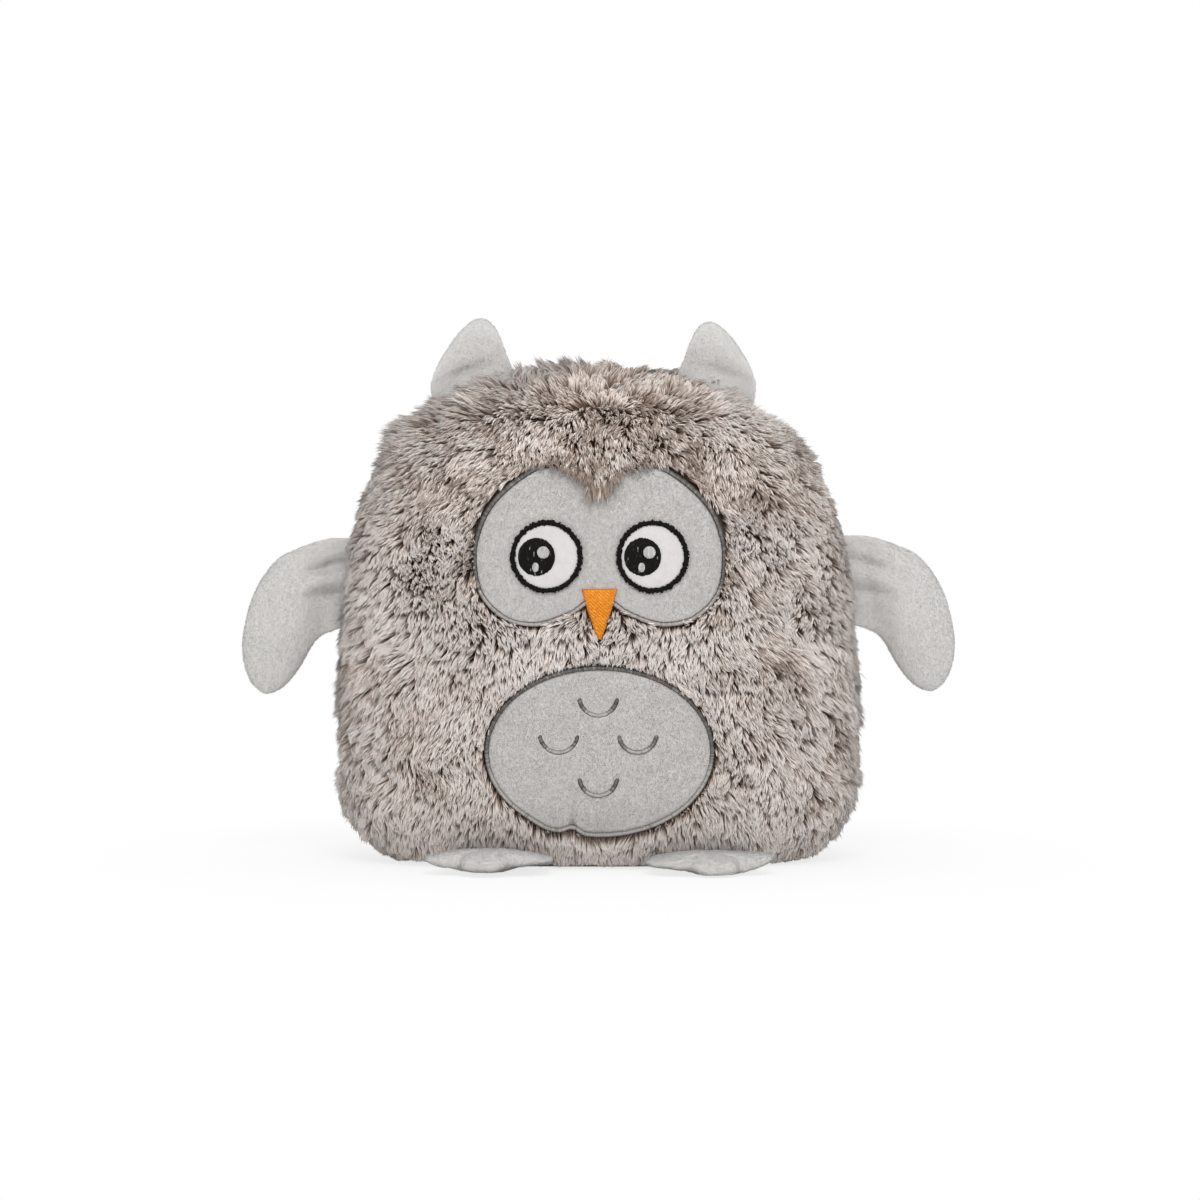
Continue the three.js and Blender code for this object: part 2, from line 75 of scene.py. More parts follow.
def placed(flat, y=0.0):
    # the points of a flat outline, with y as their depth
    return np.stack([flat[:, 0], np.broadcast_to(y, len(flat)), flat[:, 1]], axis=1)


def softNoise(points, size, seed):
    # smooth noise of about -1 to 1 that varies over size
    cell = points / size + seed * 17.31
    low = np.floor(cell)
    part = cell - low
    part = part * part * (3 - 2 * part)
    total = np.zeros(len(points))
    for corner in range(8):
        step = np.array([(corner >> axis) & 1 for axis in range(3)])
        key = (low + step) @ np.array([12.9898, 78.233, 37.719])
        value = np.modf(np.abs(np.sin(key) * 43758.5453))[0] * 2 - 1
        total += value * np.prod(np.where(step, part, 1 - part), axis=1)
    return total * 1.4


def smoothCurve(points, perSpan, closed=False):
    # a centripetal Catmull-Rom curve through the points, as in the solids' outlines
    pts = np.asarray(points, float)
    if closed:
        ring = np.vstack([pts[-1], pts, pts[0], pts[1]])
    else:
        ring = np.vstack([2 * pts[0] - pts[1], pts, 2 * pts[-1] - pts[-2]])
    a, b, c, d = ring[:-3], ring[1:-2], ring[2:-1], ring[3:]
    g0, g1, g2 = (np.linalg.norm(q, axis=1, keepdims=True).clip(1e-9) ** 0.5 for q in (b - a, c - b, d - c))
    slopeB = ((b - a) / g0 - (c - a) / (g0 + g1) + (c - b) / g1) * g1
    slopeC = ((c - b) / g1 - (d - b) / (g1 + g2) + (d - c) / g2) * g1
    t = (np.arange(perSpan) / perSpan)[None, :, None]
    b, c, slopeB, slopeC = (v[:, None, :] for v in (b, c, slopeB, slopeC))
    curve = (2 * t**3 - 3 * t**2 + 1) * b + (t**3 - 2 * t**2 + t) * slopeB
    curve = curve + (3 * t**2 - 2 * t**3) * c + (t**3 - t**2) * slopeC
    curve = curve.reshape(-1, pts.shape[1])
    return curve if closed else np.vstack([curve, pts[-1]])


def evenly(points, count, closed=False):
    # the same line with count points at equal distances
    line = np.vstack([points, points[:1]]) if closed else np.asarray(points)
    along = np.concatenate([[0], np.cumsum(np.linalg.norm(np.diff(line, axis=0), axis=1))])
    places = np.linspace(0, along[-1], count + 1)[:-1] if closed else np.linspace(0, along[-1], count)
    return np.stack([np.interp(places, along, line[:, axis]) for axis in range(line.shape[1])], axis=1)


def readGrid(field, points):
    # linear interpolation in a grid of two or three dimensions
    values, origin, step = field
    dims = points.shape[1]
    cell = np.clip((points - origin) / step, 0, np.array(values.shape[:dims]) - 1.001)
    low = cell.astype(int)
    part = cell - low
    total = 0
    for corner in range(2**dims):
        bits = np.array([(corner >> axis) & 1 for axis in range(dims)])
        weight = np.prod(np.where(bits, part, 1 - part), axis=1)
        total = total + values[tuple((low + bits).T)] * weight[:, None]
    return total


# meshes

def makePiece(name, points, faceSets, look, body, maps=None, replaced=(), normals=None):
    mesh = bpy.data.meshes.new(name)
    faceSets = [np.asarray(faces) for faces in faceSets if len(faces)]
    corners = np.concatenate([faces.ravel() for faces in faceSets]).astype(np.int32)
    sizes = np.concatenate([np.full(len(faces), faces.shape[1]) for faces in faceSets])
    starts = np.concatenate([[0], np.cumsum(sizes)[:-1]]).astype(np.int32)
    mesh.vertices.add(len(points))
    mesh.vertices.foreach_set("co", (np.asarray(points) * toMetres).astype(np.float32).ravel())
    mesh.loops.add(len(corners))
    mesh.loops.foreach_set("vertex_index", corners)
    mesh.polygons.add(len(sizes))
    mesh.polygons.foreach_set("loop_start", starts)
    if maps is not None:
        layer = mesh.uv_layers.new(name="OFBake")
        layer.data.foreach_set("uv", maps[corners].astype(np.float32).ravel())
    mesh.update(calc_edges=True)
    mesh.shade_smooth()
    if normals is not None:
        mesh.normals_split_custom_set_from_vertices(normals.astype(np.float32).tolist())
    mesh.materials.append(look)
    piece = bpy.data.objects.new(name, mesh)
    bpy.context.collection.objects.link(piece)
    if isinstance(body, dict):
        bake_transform(piece)
    else:
        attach(piece, body)
    if replaced:
        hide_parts(*replaced)
    return piece


def trianglesOf(quads, tris):
    return np.vstack([tris, quads[:, :3], quads[:, [0, 2, 3]]])


def crossesOf(points, triangles):
    # each triangle's direction, as long as twice its area
    a, b, c = (points[triangles[:, i]] for i in range(3))
    return np.cross(b - a, c - a)


def closedSkin(first, rings, last):
    # rings of points between two end points, as one closed skin that faces outwards
    around = len(rings[0])
    points = np.vstack([first, *rings, last])
    step = np.arange(around)
    after = (step + 1) % around
    quads = []
    for ring in range(len(rings) - 1):
        here, there = 1 + ring * around, 1 + (ring + 1) * around
        quads.append(np.stack([here + step, here + after, there + after, there + step], axis=1))
    end = 1 + (len(rings) - 1) * around
    quads, tris = np.vstack(quads), np.vstack([
        np.stack([np.zeros(around, int), 1 + after, 1 + step], axis=1),
        np.stack([np.full(around, len(points) - 1), end + step, end + after], axis=1),
    ])
    cut = trianglesOf(quads, tris)
    volume = np.einsum("ij,ij->i", points[cut[:, 0]], np.cross(points[cut[:, 1]], points[cut[:, 2]])).sum()
    if volume < 0:
        quads, tris = quads[:, ::-1], tris[:, ::-1]
    return points, quads, tris


def gridFaces(rows, columns, closedRows=False, closedColumns=False):
    # the faces of a grid of points, row by row
    row, column = np.indices((rows - 1 + closedRows, columns - 1 + closedColumns)).reshape(2, -1)
    nextRow, nextColumn = (row + 1) % rows, (column + 1) % columns
    corners = ((row, column), (nextRow, column), (nextRow, nextColumn), (row, nextColumn))
    return np.stack([r * columns + c for r, c in corners], axis=1)


def scatter(points, triangles, count):
    # random places spread evenly over a surface, with the surface's direction there
    a, b, c = (points[triangles[:, i]] for i in range(3))
    cross = crossesOf(points, triangles)
    area = np.linalg.norm(cross, axis=1)
    pick = rng.choice(len(triangles), count, p=area / area.sum())
    u, v = rng.random((2, count))
    flip = u + v > 1
    u, v = np.where(flip, 1 - u, u), np.where(flip, 1 - v, v)
    places = a[pick] + (b - a)[pick] * u[:, None] + (c - a)[pick] * v[:, None]
    return places, unit(cross[pick])


# materials

def linearColour(hexColour):
    parts = [int(hexColour[i : i + 2], 16) / 255 for i in (1, 3, 5)]
    return [p / 12.92 if p <= 0.04045 else ((p + 0.055) / 1.055) ** 2.4 for p in parts] + [1]


def addNode(tree, kind, inputs=None, **settings):
    # adds a node with its settings; an input given as (node, output) is linked
    node = tree.nodes.new(kind)
    for name, value in settings.items():
        setattr(node, name, value)
    for socket, value in (inputs or {}).items():
        if isinstance(value, tuple) and isinstance(value[0], bpy.types.Node):
            tree.links.new(value[0].outputs[value[1]], node.inputs[socket])
        else:
            node.inputs[socket].default_value = value
    return node


def newMaterial(name):
    look = bpy.data.materials.new(name)
    look.use_nodes = True
    look.node_tree.nodes.clear()
    return look, look.node_tree


def addRamp(tree, source, stops):
    # colours along a value
    node = addNode(tree, "ShaderNodeValToRGB", {"Fac": source})
    elements = node.color_ramp.elements
    while len(elements) > 1:
        elements.remove(elements[-1])
    for place, colour in stops:
        element = elements[0] if place == stops[0][0] else elements.new(place)
        element.position, element.color = place, linearColour(colour)
    return node


def addNoise(tree, place, millimetres, detail, roughness):
    # the scale is how often a pattern of this size repeats in a metre
    inputs = {"Vector": (place, "Object"), "Scale": 1000 / millimetres, "Detail": detail, "Roughness": roughness}
    return addNode(tree, "ShaderNodeTexNoise", inputs)


def addSurface(tree, colour, roughness, sheen, gloss, more=None):
    inputs = {"Base Color": colour, "Roughness": roughness, "IOR": 1.5, "Specular IOR Level": gloss}
    inputs.update({"Sheen Weight": sheen, "Sheen Roughness": 0.5, **(more or {})})
    shader = addNode(tree, "ShaderNodeBsdfPrincipled", inputs)
    addNode(tree, "ShaderNodeOutputMaterial", {"Surface": (shader, "BSDF")})


def fibreMaterial(name, alongStops, tintStops, roughness, sheen, gloss=0.3):
    # Loose fibres: the map's v runs from root to tip, and its u is each fibre's own tint.
    look, tree = newMaterial(name)
    place = addNode(tree, "ShaderNodeUVMap", uv_map="OFBake")
    parts = addNode(tree, "ShaderNodeSeparateXYZ", {"Vector": (place, "UV")})
    along = addRamp(tree, (parts, "Y"), alongStops)
    tint = addRamp(tree, (parts, "X"), tintStops)
    mixed = {"Factor": 1.0, "A": (along, "Color"), "B": (tint, "Color")}
    both = addNode(tree, "ShaderNodeMix", mixed, data_type="RGBA", blend_type="MULTIPLY")
    addSurface(tree, (both, "Result"), roughness, sheen, gloss)
    return look


def clothMaterial(name, colours, grain, mottle, relief, roughness, sheen):
    # A pressed or knitted cloth: fine fibre grain over broader mottling, and a nap that catches light.
    look, tree = newMaterial(name)
    place = addNode(tree, "ShaderNodeTexCoord")
    fine, broad = addNoise(tree, place, grain, 3.0, 0.6), addNoise(tree, place, mottle, 2.0, 0.5)
    mixed = {"Factor": 0.4, "A": (fine, "Fac"), "B": (broad, "Fac")}
    blend = addNode(tree, "ShaderNodeMix", mixed, data_type="FLOAT")
    tones = addRamp(tree, (blend, "Result"), list(zip((0.3, 0.5, 0.7), colours)))
    heights = {"Height": (fine, "Fac"), "Strength": 0.8, "Distance": relief * toMetres}
    raised = addNode(tree, "ShaderNodeBump", heights)
    addSurface(tree, (tones, "Color"), roughness, sheen, 0.3, {"Normal": (raised, "Normal")})
    return look


# Acrylic long pile, tip-dyed: brown at the root and frosted pale at the tip, so partings show dark.
longPileLook = fibreMaterial(
    "tip-dyed acrylic long pile",
    [(0.0, "#7d6d62"), (0.22, "#b8a79c"), (0.4, "#ebddd3"), (0.58, "#fdf4ee"), (1.0, "#fffaf6")],
    [(0.0, "#9d9087"), (0.25, "#ded4cd"), (0.5, "#fdfaf8"), (1.0, "#ffffff")],
    roughness=0.75, sheen=0.15,
)
# Short-pile polyester plush: a pale grey nap of fibres a millimetre long, matt with a soft bloom.
limbPileLook = fibreMaterial(
    "pale short polyester plush pile",
    [(0.0, "#c6c6c2"), (0.5, "#dfe0dc"), (1.0, "#edeeea")],
    [(0.0, "#c2c0bd"), (0.5, "#f4f3f2"), (1.0, "#ffffff")],
    roughness=0.9, sheen=0.3,
)
facePileLook = fibreMaterial(
    "grey short polyester plush pile",
    [(0.0, "#c4c2bf"), (0.5, "#e5e3e1"), (1.0, "#f7f5f3")],
    [(0.0, "#aeaba8"), (0.5, "#f8f7f6"), (1.0, "#ffffff")],
    roughness=0.9, sheen=0.3,
)
# The knitted ground that the plush pile stands in, seen between its fibres.
plushGroundLook = clothMaterial(
    "knitted plush ground", ("#c9c6c4", "#d2cfcd", "#d9d7d5"),
    grain=0.8, mottle=7, relief=0.15, roughness=0.95, sheen=0.4,
)
# The knitted backing of the long pile, dark brown where the pile parts.
furBackingLook = clothMaterial(
    "brown knitted fur backing", ("#4a3f38", "#594d45", "#675a51"),
    grain=1.0, mottle=9, relief=0.3, roughness=0.95, sheen=0.1,
)
# White pressed felt: matt, with faint matted fibres.
whiteFeltLook = clothMaterial(
    "white pressed felt", ("#c9c6c4", "#d3d0cf", "#dbd9d7"),
    grain=0.5, mottle=3, relief=0.08, roughness=0.9, sheen=0.2,
)
threadLooks = {
    # near black and silky; a few stitches carry a painted highlight where filaments catch the light, and painted shade
    # darkens the thread where it dives in
    "black_thread": fibreMaterial(
        "black rayon thread",
        [(0.0, "#8c8c8c"), (0.3, "#ffffff"), (1.0, "#ffffff")],
        [(0.0, "#050404"), (0.5, "#0b0908"), (0.88, "#171412"), (0.93, "#2b2725"), (0.965, "#a5a19e")],
        roughness=0.65, sheen=0.0, gloss=0.12,
    ),
    # laid in a soft shine over the pupil, with painted shade where the thread dives in
    "silver_thread": fibreMaterial(
        "silver grey rayon thread",
        [(0.0, "#9b9896"), (0.35, "#ffffff"), (1.0, "#ffffff")],
        [(0.0, "#a4a19f"), (0.5, "#b9b7b5"), (1.0, "#cbc9c8")],
        roughness=0.5, sheen=0.1,
    ),
    # pale across the middle of its satin stitch, with painted shade where the threads dive into the plush, deepest
    # along one edge
    "grey_thread": fibreMaterial(
        "grey rayon thread",
        [
            (0.0, "#86827d"), (0.14, "#8f8b86"), (0.32, "#bab7b4"), (0.68, "#bab7b4"), (0.84, "#75706b"),
            (1.0, "#4e4944"),
        ],
        [(0.0, "#6b6764"), (0.25, "#a19d9a"), (0.55, "#f0eeed"), (1.0, "#ffffff")],
        roughness=0.6, sheen=0.1,
    ),
    # painted shade darkens it at each needle hole of the fill stitch and along its rim
    "orange_thread": fibreMaterial(
        "orange rayon thread",
        [(0.0, "#a9683a"), (0.3, "#e8b183"), (0.6, "#ffffff"), (1.0, "#ffffff")],
        [(0.0, "#df8b25"), (0.4, "#ea982c"), (0.7, "#f0a233"), (1.0, "#f5ad41")],
        roughness=0.55, sheen=0.0, gloss=0.2,
    ),
}
print("materials made")


# the photograph's camera, a pale floor and soft studio light

studio = {
    "middle": (0, 0, 100), "distance": 2000, "elevation": 3, "lens": 152.7, "aim": (0.2, 0, 102.0),
    "worldStrength": 0.75, "keyPower": 11.5, "keySize": 900, "keyPlace": (120, -1300, 1300),
    "floorSize": 6000, "floorColour": "#fbfbfb",
}


def makeStudio():
    scene = bpy.context.scene
    scene.view_settings.view_transform = "Standard"
    aim = Vector(studio["aim"]) * toMetres

    def setUp(name, data, place):
        thing = bpy.data.objects.new(name, data)
        thing.location = place
        thing.rotation_euler = (aim - thing.location).to_track_quat("-Z", "Y").to_euler()
        scene.collection.objects.link(thing)
        return thing

    camera = bpy.data.cameras.new("camera")
    camera.sensor_width, camera.lens = 36, studio["lens"]
    camera.clip_start, camera.clip_end = 0.01, 50
    rise = math.radians(studio["elevation"])
    away = Vector((0, -math.cos(rise), math.sin(rise))) * studio["distance"] * toMetres
    scene.camera = setUp("camera", camera, Vector(studio["middle"]) * toMetres + away)

    # The world lights the owl evenly, and looks white to the camera and in reflections.
    world = bpy.data.worlds.new("soft white studio")
    scene.world = world
    world.use_nodes = True
    tree = world.node_tree
    tree.nodes.clear()
    path = addNode(tree, "ShaderNodeLightPath")
    rays = {0: (path, "Is Camera Ray"), 1: (path, "Is Glossy Ray")}
    glossy = addNode(tree, "ShaderNodeMath", rays, operation="MAXIMUM")
    rays = {0: (glossy, "Value"), 1: (path, "Is Transmission Ray")}
    seen = addNode(tree, "ShaderNodeMath", rays, operation="MAXIMUM")
    light = addNode(tree, "ShaderNodeBackground", {"Color": (1, 1, 1, 1), "Strength": studio["worldStrength"]})
    white = addNode(tree, "ShaderNodeBackground", {"Color": (1, 1, 1, 1), "Strength": 1.0})
    mixed = {0: (seen, "Value"), 1: (light, "Background"), 2: (white, "Background")}
    both = addNode(tree, "ShaderNodeMixShader", mixed)
    addNode(tree, "ShaderNodeOutputWorld", {"Surface": (both, "Shader")})

    lamp = bpy.data.lights.new("soft key", "AREA")
    lamp.shape, lamp.size = "DISK", studio["keySize"] * toMetres
    lamp.energy = studio["keyPower"]
    setUp("soft key", lamp, Vector(studio["keyPlace"]) * toMetres)

    # The floor shows the shadow near the owl and fades to plain white away from it.
    look, tree = newMaterial("pale studio floor")
    place = addNode(tree, "ShaderNodeTexCoord")
    distance = addNode(tree, "ShaderNodeVectorMath", {0: (place, "Object")}, operation="LENGTH")
    ends = {"From Min": 0.1, "From Max": 0.22, "To Min": 0.78, "To Max": 1.0}
    fade = addNode(tree, "ShaderNodeMapRange", {"Value": (distance, "Value"), **ends})
    path = addNode(tree, "ShaderNodeLightPath")
    rays = {0: (fade, "Result"), 1: (path, "Is Camera Ray")}
    amount = addNode(tree, "ShaderNodeMath", rays, operation="MULTIPLY")
    matt = addNode(tree, "ShaderNodeBsdfDiffuse", {"Color": linearColour(studio["floorColour"])})
    glow = addNode(tree, "ShaderNodeEmission", {"Color": (1, 1, 1, 1), "Strength": 1.0})
    both = addNode(tree, "ShaderNodeMixShader", {0: (amount, "Value"), 1: (matt, "BSDF"), 2: (glow, "Emission")})
    addNode(tree, "ShaderNodeOutputMaterial", {"Surface": (both, "Shader")})
    half = studio["floorSize"] / 2 * toMetres
    mesh = bpy.data.meshes.new("studio_floor")
    corners = [(-half, -half, 0), (half, -half, 0), (half, half, 0), (-half, half, 0)]
    mesh.from_pydata(corners, [], [(0, 1, 2, 3)])
    mesh.materials.append(look)
    floor = bpy.data.objects.new("studio_floor", mesh)
    scene.collection.objects.link(floor)


makeStudio()
print("camera, light and floor made")


# the body's form, the same curves as the solids

body = {
    "width": 208, "depth": 110, "height": 195, "tuckWidth": 31, "tuckDepth": 20, "curlHeight": 30,
    "shoulderPower": 6, "depthPower": 4, "depthFall": 0.6, "sectionPower": 2.4, "seamDip": 2.5,
    "pile": 8, "baseThickness": 2.4, "baseMargin": 3,
}


def tuckAt(z):
    return 1 - np.sqrt(1 - np.clip(1 - z / body["curlHeight"], 0, 1) ** 2)


def halfWidthAt(z, inset):
    fall = np.sqrt(np.clip(1 - (z / (body["height"] - inset)) ** body["shoulderPower"], 0, 1))
    return (body["width"] / 2 - inset) * fall - body["tuckWidth"] * tuckAt(z)


def halfDepthAt(z, inset):
    fall = np.clip(1 - (z / (body["height"] - inset)) ** body["depthPower"], 0, 1) ** body["depthFall"]
    return (body["depth"] / 2 - inset) * fall - body["tuckDepth"] * tuckAt(z)


def frontY(x, z, depth=0.0):
    # the front of the body at the tips of the pile, moved back by depth
    share = np.clip(np.abs(x) / np.maximum(halfWidthAt(z, 0), 1), 0, 1) ** body["sectionPower"]
    return -halfDepthAt(z, 0) * (1 - share) ** (1 / body["sectionPower"]) + depth


def onFront(flat, depth, lift=0):
    # the points of a flat outline on the body's front, set back by depth and raised by lift
    return placed(flat, frontY(flat[:, 0], flat[:, 1], depth) - lift)


def sectionAt(z, inset, steps):
    angle = np.arange(steps) / steps * 2 * np.pi
    corner = lambda wave: np.sign(wave) * np.abs(wave) ** (2 / body["sectionPower"])
    x = halfWidthAt(z, inset) * corner(np.cos(angle))
    y = halfDepthAt(z, inset) * corner(np.sin(angle))
    return np.stack([x, y, np.full(steps, float(z))], axis=1)


# the outlines that lie in the fur

face = {
    "width": 97.5, "height": 62, "middle": 124.2,
    "halfShares": [
        (0, 0.85), (0.2, 1), (0.34, 1.04), (0.47, 1.025), (0.65, 0.865), (0.82, 0.63), (0.91, 0.435),
        (0.968, 0.21), (1, -0.06), (0.95, -0.56), (0.75, -0.88), (0.49, -0.96), (0.22, -0.82), (0, -0.62),
    ],
}
belly = {"width": 88.3, "height": 66, "middle": 46.3, "pucker": -10.4}
beak = {"width": 13, "length": 19.2, "top": 108.6}
layers = {"patch": 3.0, "patchThickness": 1.6, "felt": 1.0}


def faceOutline(count):
    shares = face["halfShares"] + [(-u, v) for u, v in face["halfShares"][-2:0:-1]]
    points = [(u * face["width"] / 2, face["middle"] + v * face["height"] / 2) for u, v in shares]
    return evenly(smoothCurve(points, 16, closed=True), count, closed=True)


def ovalOutline(x, z, halfWidth, halfHeight, count):
    angle = np.arange(count) / count * 2 * np.pi
    return np.stack([x + halfWidth * np.cos(angle), z + halfHeight * np.sin(angle)], axis=1)


def bellyOutline(count):
    oval = ovalOutline(0, belly["middle"], belly["width"] / 2, belly["height"] / 2, 4 * count)
    # its lower edge is caught up at one place
    caught, sag = bump(oval[:, 0], belly["pucker"], 3.2), bump(oval[:, 0], belly["pucker"] - 10, 5.5)
    oval[:, 1] += (2.2 * caught - 0.9 * sag) * (oval[:, 1] < belly["middle"])
    return evenly(oval, count, True)


def beakHalfWidth(z):
    # straight sides, a little full, down to a small round tip
    share = np.clip((beak["top"] - z) / beak["length"], 0, 1)
    return beak["width"] / 2 * (1 - share) + 0.5 * np.sin(np.pi * share) + 0.2 + 0.6 * share**3


def beakOutline(count):
    z = np.linspace(beak["top"], beak["top"] - beak["length"], count // 2)
    right = np.stack([beakHalfWidth(z), z], axis=1)
    left = right[::-1] * [-1, 1]
    return np.vstack([right, left])


def signedDistance(points, outline):
    # negative inside a closed outline
    start, end = outline, np.roll(outline, -1, axis=0)
    along = end - start
    best = np.full(len(points), np.inf)
    inside = np.zeros(len(points), bool)
    for a, b, ab in zip(start, end, along):
        off = points - a
        share = np.clip(off @ ab / max(ab @ ab, 1e-12), 0, 1)
        best = np.minimum(best, np.linalg.norm(off - share[:, None] * ab, axis=1))
        crosses = (a[1] > points[:, 1]) != (b[1] > points[:, 1])
        with np.errstate(divide="ignore", invalid="ignore"):
            at = a[0] + (points[:, 1] - a[1]) / (b[1] - a[1]) * ab[0]
        inside ^= crosses & (points[:, 0] < at)
    return np.where(inside, -best, best)


def outlineField():
    # how far each place on the front is from the nearest patch, and the way out of it
    step = 1.0
    xs, zs = np.arange(-112, 113, step), np.arange(-6, 206, step)
    grid = np.stack(np.meshgrid(xs, zs, indexing="ij"), axis=-1).reshape(-1, 2)
    away = np.min([signedDistance(grid, o) for o in (faceOutline(90), bellyOutline(80), beakOutline(30))], axis=0)
    away = away.reshape(len(xs), len(zs))
    slopeX, slopeZ = np.gradient(away, step)
    return np.stack([away, slopeX, slopeZ], axis=-1), np.array([xs[0], zs[0]]), step


patchField = outlineField()
print("outlines measured")


# the body under the fur: fur backing over a stuffed core

core = {"rings": 110, "steps": 220, "floor": 2.7, "grid": 3.0}


def makeCore():
    top = body["height"] - body["pile"]
    rings = []
    for ring in range(core["rings"]):
        share = (1 - math.cos(math.pi * (ring + 0.02) / core["rings"])) / 2
        rings.append(sectionAt(core["floor"] + (top - core["floor"]) * share, body["pile"], core["steps"]))
    points, quads, tris = closedSkin([0, 0, core["floor"]], rings, [0, 0, top])
    plain = points.copy()
    # the backing comes up to carry the face and belly
    away = readGrid(patchField, points[:, [0, 2]])[:, 0]
    lift = smoothStep(-away, -2.5, 0.8) * (points[:, 1] < 0)
    carried = frontY(points[:, 0], points[:, 2], layers["patch"] + layers["patchThickness"] + 0.15)
    points[:, 1] += (carried - points[:, 1]) * lift
    return points, plain, quads, tris


corePoints, plainPoints, coreQuads, coreTris = makeCore()


def skinField():
    # distance from the plain body, and the way out from it, on a grid round it
    faces = [tuple(f) for f in coreQuads.tolist()] + [tuple(f) for f in coreTris.tolist()]
    tree = BVHTree.FromPolygons(plainPoints.tolist(), faces)
    step = core["grid"]
    axes = [np.arange(-117, 118, step), np.arange(-66, 67, step), np.arange(-9, 214, step)]
    grid = np.stack(np.meshgrid(*axes, indexing="ij"), axis=-1).reshape(-1, 3)
    away = np.empty(len(grid))
    for i, place in enumerate(grid.tolist()):
        nearest, normal, _, distance = tree.find_nearest(place)
        away[i] = math.copysign(distance, (Vector(place) - nearest).dot(normal))
    away = away.reshape([len(a) for a in axes])
    slopes = np.gradient(away, step)
    return np.stack([away, *slopes], axis=-1), np.array([a[0] for a in axes]), step


bodyField = skinField()
backing = makePiece(
    "fur_backing", corePoints, [coreQuads, coreTris], furBackingLook, "torso",
    replaced=("front_fur_panel", "back_fur_panel", "body_stuffing"),
)
print("body core made")


# the long pile

fur = {
    "length": 9.4, "lengthSpread": 0.1, "clumpSize": 5.0, "partingSize": 14.0, "lockSize": 1.25,
    "fibresInLock": 5, "fibreWidth": 0.38, "mostInPiece": 19500, "rise": 84, "lie": 42, "browLie": 30,
    "crownLie": 30, "whorlLie": 13, "whorl": (-1, -24, 181), "radialReach": 38, "downReach": 92,
    "spread": 0.42, "overlap": 1.2, "clumping": 0.38, "gathering": 0.64, "wingSeam": 110, "earSeam": 49.2,
}


def thinned(places, size):
    # at most one place in each cell of this size
    keys = np.floor(places / size).astype(np.int64)
    flat = (keys[:, 0] * 4096 + keys[:, 1]) * 4096 + keys[:, 2]
    return np.unique(flat, return_index=True)[1]


def nearestOf(places):
    # finds which of the places is nearest to each point
    tree = KDTree(len(places))
    for i, place in enumerate(places.tolist()):
        tree.insert(place, i)
    tree.balance()
    return lambda points: np.array([tree.find(point)[1] for point in points.tolist()])


def skinAt(places):
    # the way out from the body
    return unit(readGrid(bodyField, places)[:, 1:])


def patchAt(places):
    # how far the nearest patch is, and the way out of it
    return readGrid(patchField, places[:, [0, 2]]).T


def nearPatch(places, reach):
    # 1 at a patch, falling off over the reach
    return np.exp(-np.clip(patchAt(places)[0], 0, None) / reach)


def inSurface(vectors, normals):
    # the part of the vectors that lies along the surface
    return vectors - normals * np.einsum("ij,ij->i", vectors, normals)[:, None]


def furFlow(places, normals, turn):
    # the pile runs out from a whorl on the crown and hangs down further away
    x, y, z = places.T
    wide = np.abs(x)
    away = places - np.array(fur["whorl"])
    hanging = smoothStep(np.linalg.norm(away, axis=1), fur["radialReach"], fur["downReach"])
    # under the whorl it falls straight down over the brow
    brow = smoothStep(fur["whorl"][2] - z, 1, 7) * bump(x, 0, 22) * (y < 0)
    hanging = np.maximum(hanging, brow)[:, None]
    outwards = fur["spread"] * smoothStep(wide, 66, 96) - 0.12 * smoothStep(wide, 20, 50)
    # beside the cheeks it falls inwards, and below them on the left outwards
    below = 0.3 * (x < 0) * smoothStep(-z, -88, -80) * (z > 58)
    outwards = outwards + bump(wide, 62, 13) * (below - 0.28 * smoothStep(z, 86, 94))
    outwards = np.sign(x) * outwards * smoothStep(z, 10, 80) + 0.3 * smoothStep(x, 78, 92) * (z < 90)
    down = np.stack([outwards, np.zeros(len(places)), -np.ones(len(places))], axis=1)
    # on the crown it lies out to the sides
    crown = (smoothStep(z, 172, 182) * smoothStep(y, -22, -12))[:, None]
    flow = unit(away * (1 - crown * [0, 0.6, 0.3])) * (1 - hanging) + down * hanging
    # it falls from the temples too
    temple = bump(wide, 45, 24) * smoothStep(z, 126, 142) * (y < 0)
    flow[:, 2] -= 2.7 * temple * smoothStep(-z, -180, -170)
    # it parts round the patches
    gap, outX, outZ = patchAt(places)
    edge = np.stack([outX, np.zeros(len(places)), outZ], axis=1)
    leaving = np.einsum("ij,ij->i", flow, edge) * np.exp(-np.clip(gap, 0, None) / 3.5) * (y < -5)
    atPeak = bump(x, 0, 34, 4) * smoothStep(z, 136, 146)
    parting = 0.7 - 0.4 * (1 - smoothStep(wide, 20, 32)) * (z < 110)
    turned = np.clip(-leaving, 0, None) * (1 - atPeak) * parting - np.clip(leaving, 0, None) * 0.95
    flow = flow + edge * turned[:, None]
    # and it leaves the wings' and ears' seams on both sides
    atWing = (wide > 90) & (np.abs(z - fur["wingSeam"]) < 32)
    atEar = (z > 178) & (np.abs(wide - fur["earSeam"]) < 20)
    flow[:, 1] += np.sign(y) * np.exp(-np.abs(y) / 4) * (0.8 * atWing + 0.35 * atEar)
    flow = unit(inSurface(flow, normals))
    return flow * np.cos(turn)[:, None] + np.cross(normals, flow) * np.sin(turn)[:, None]


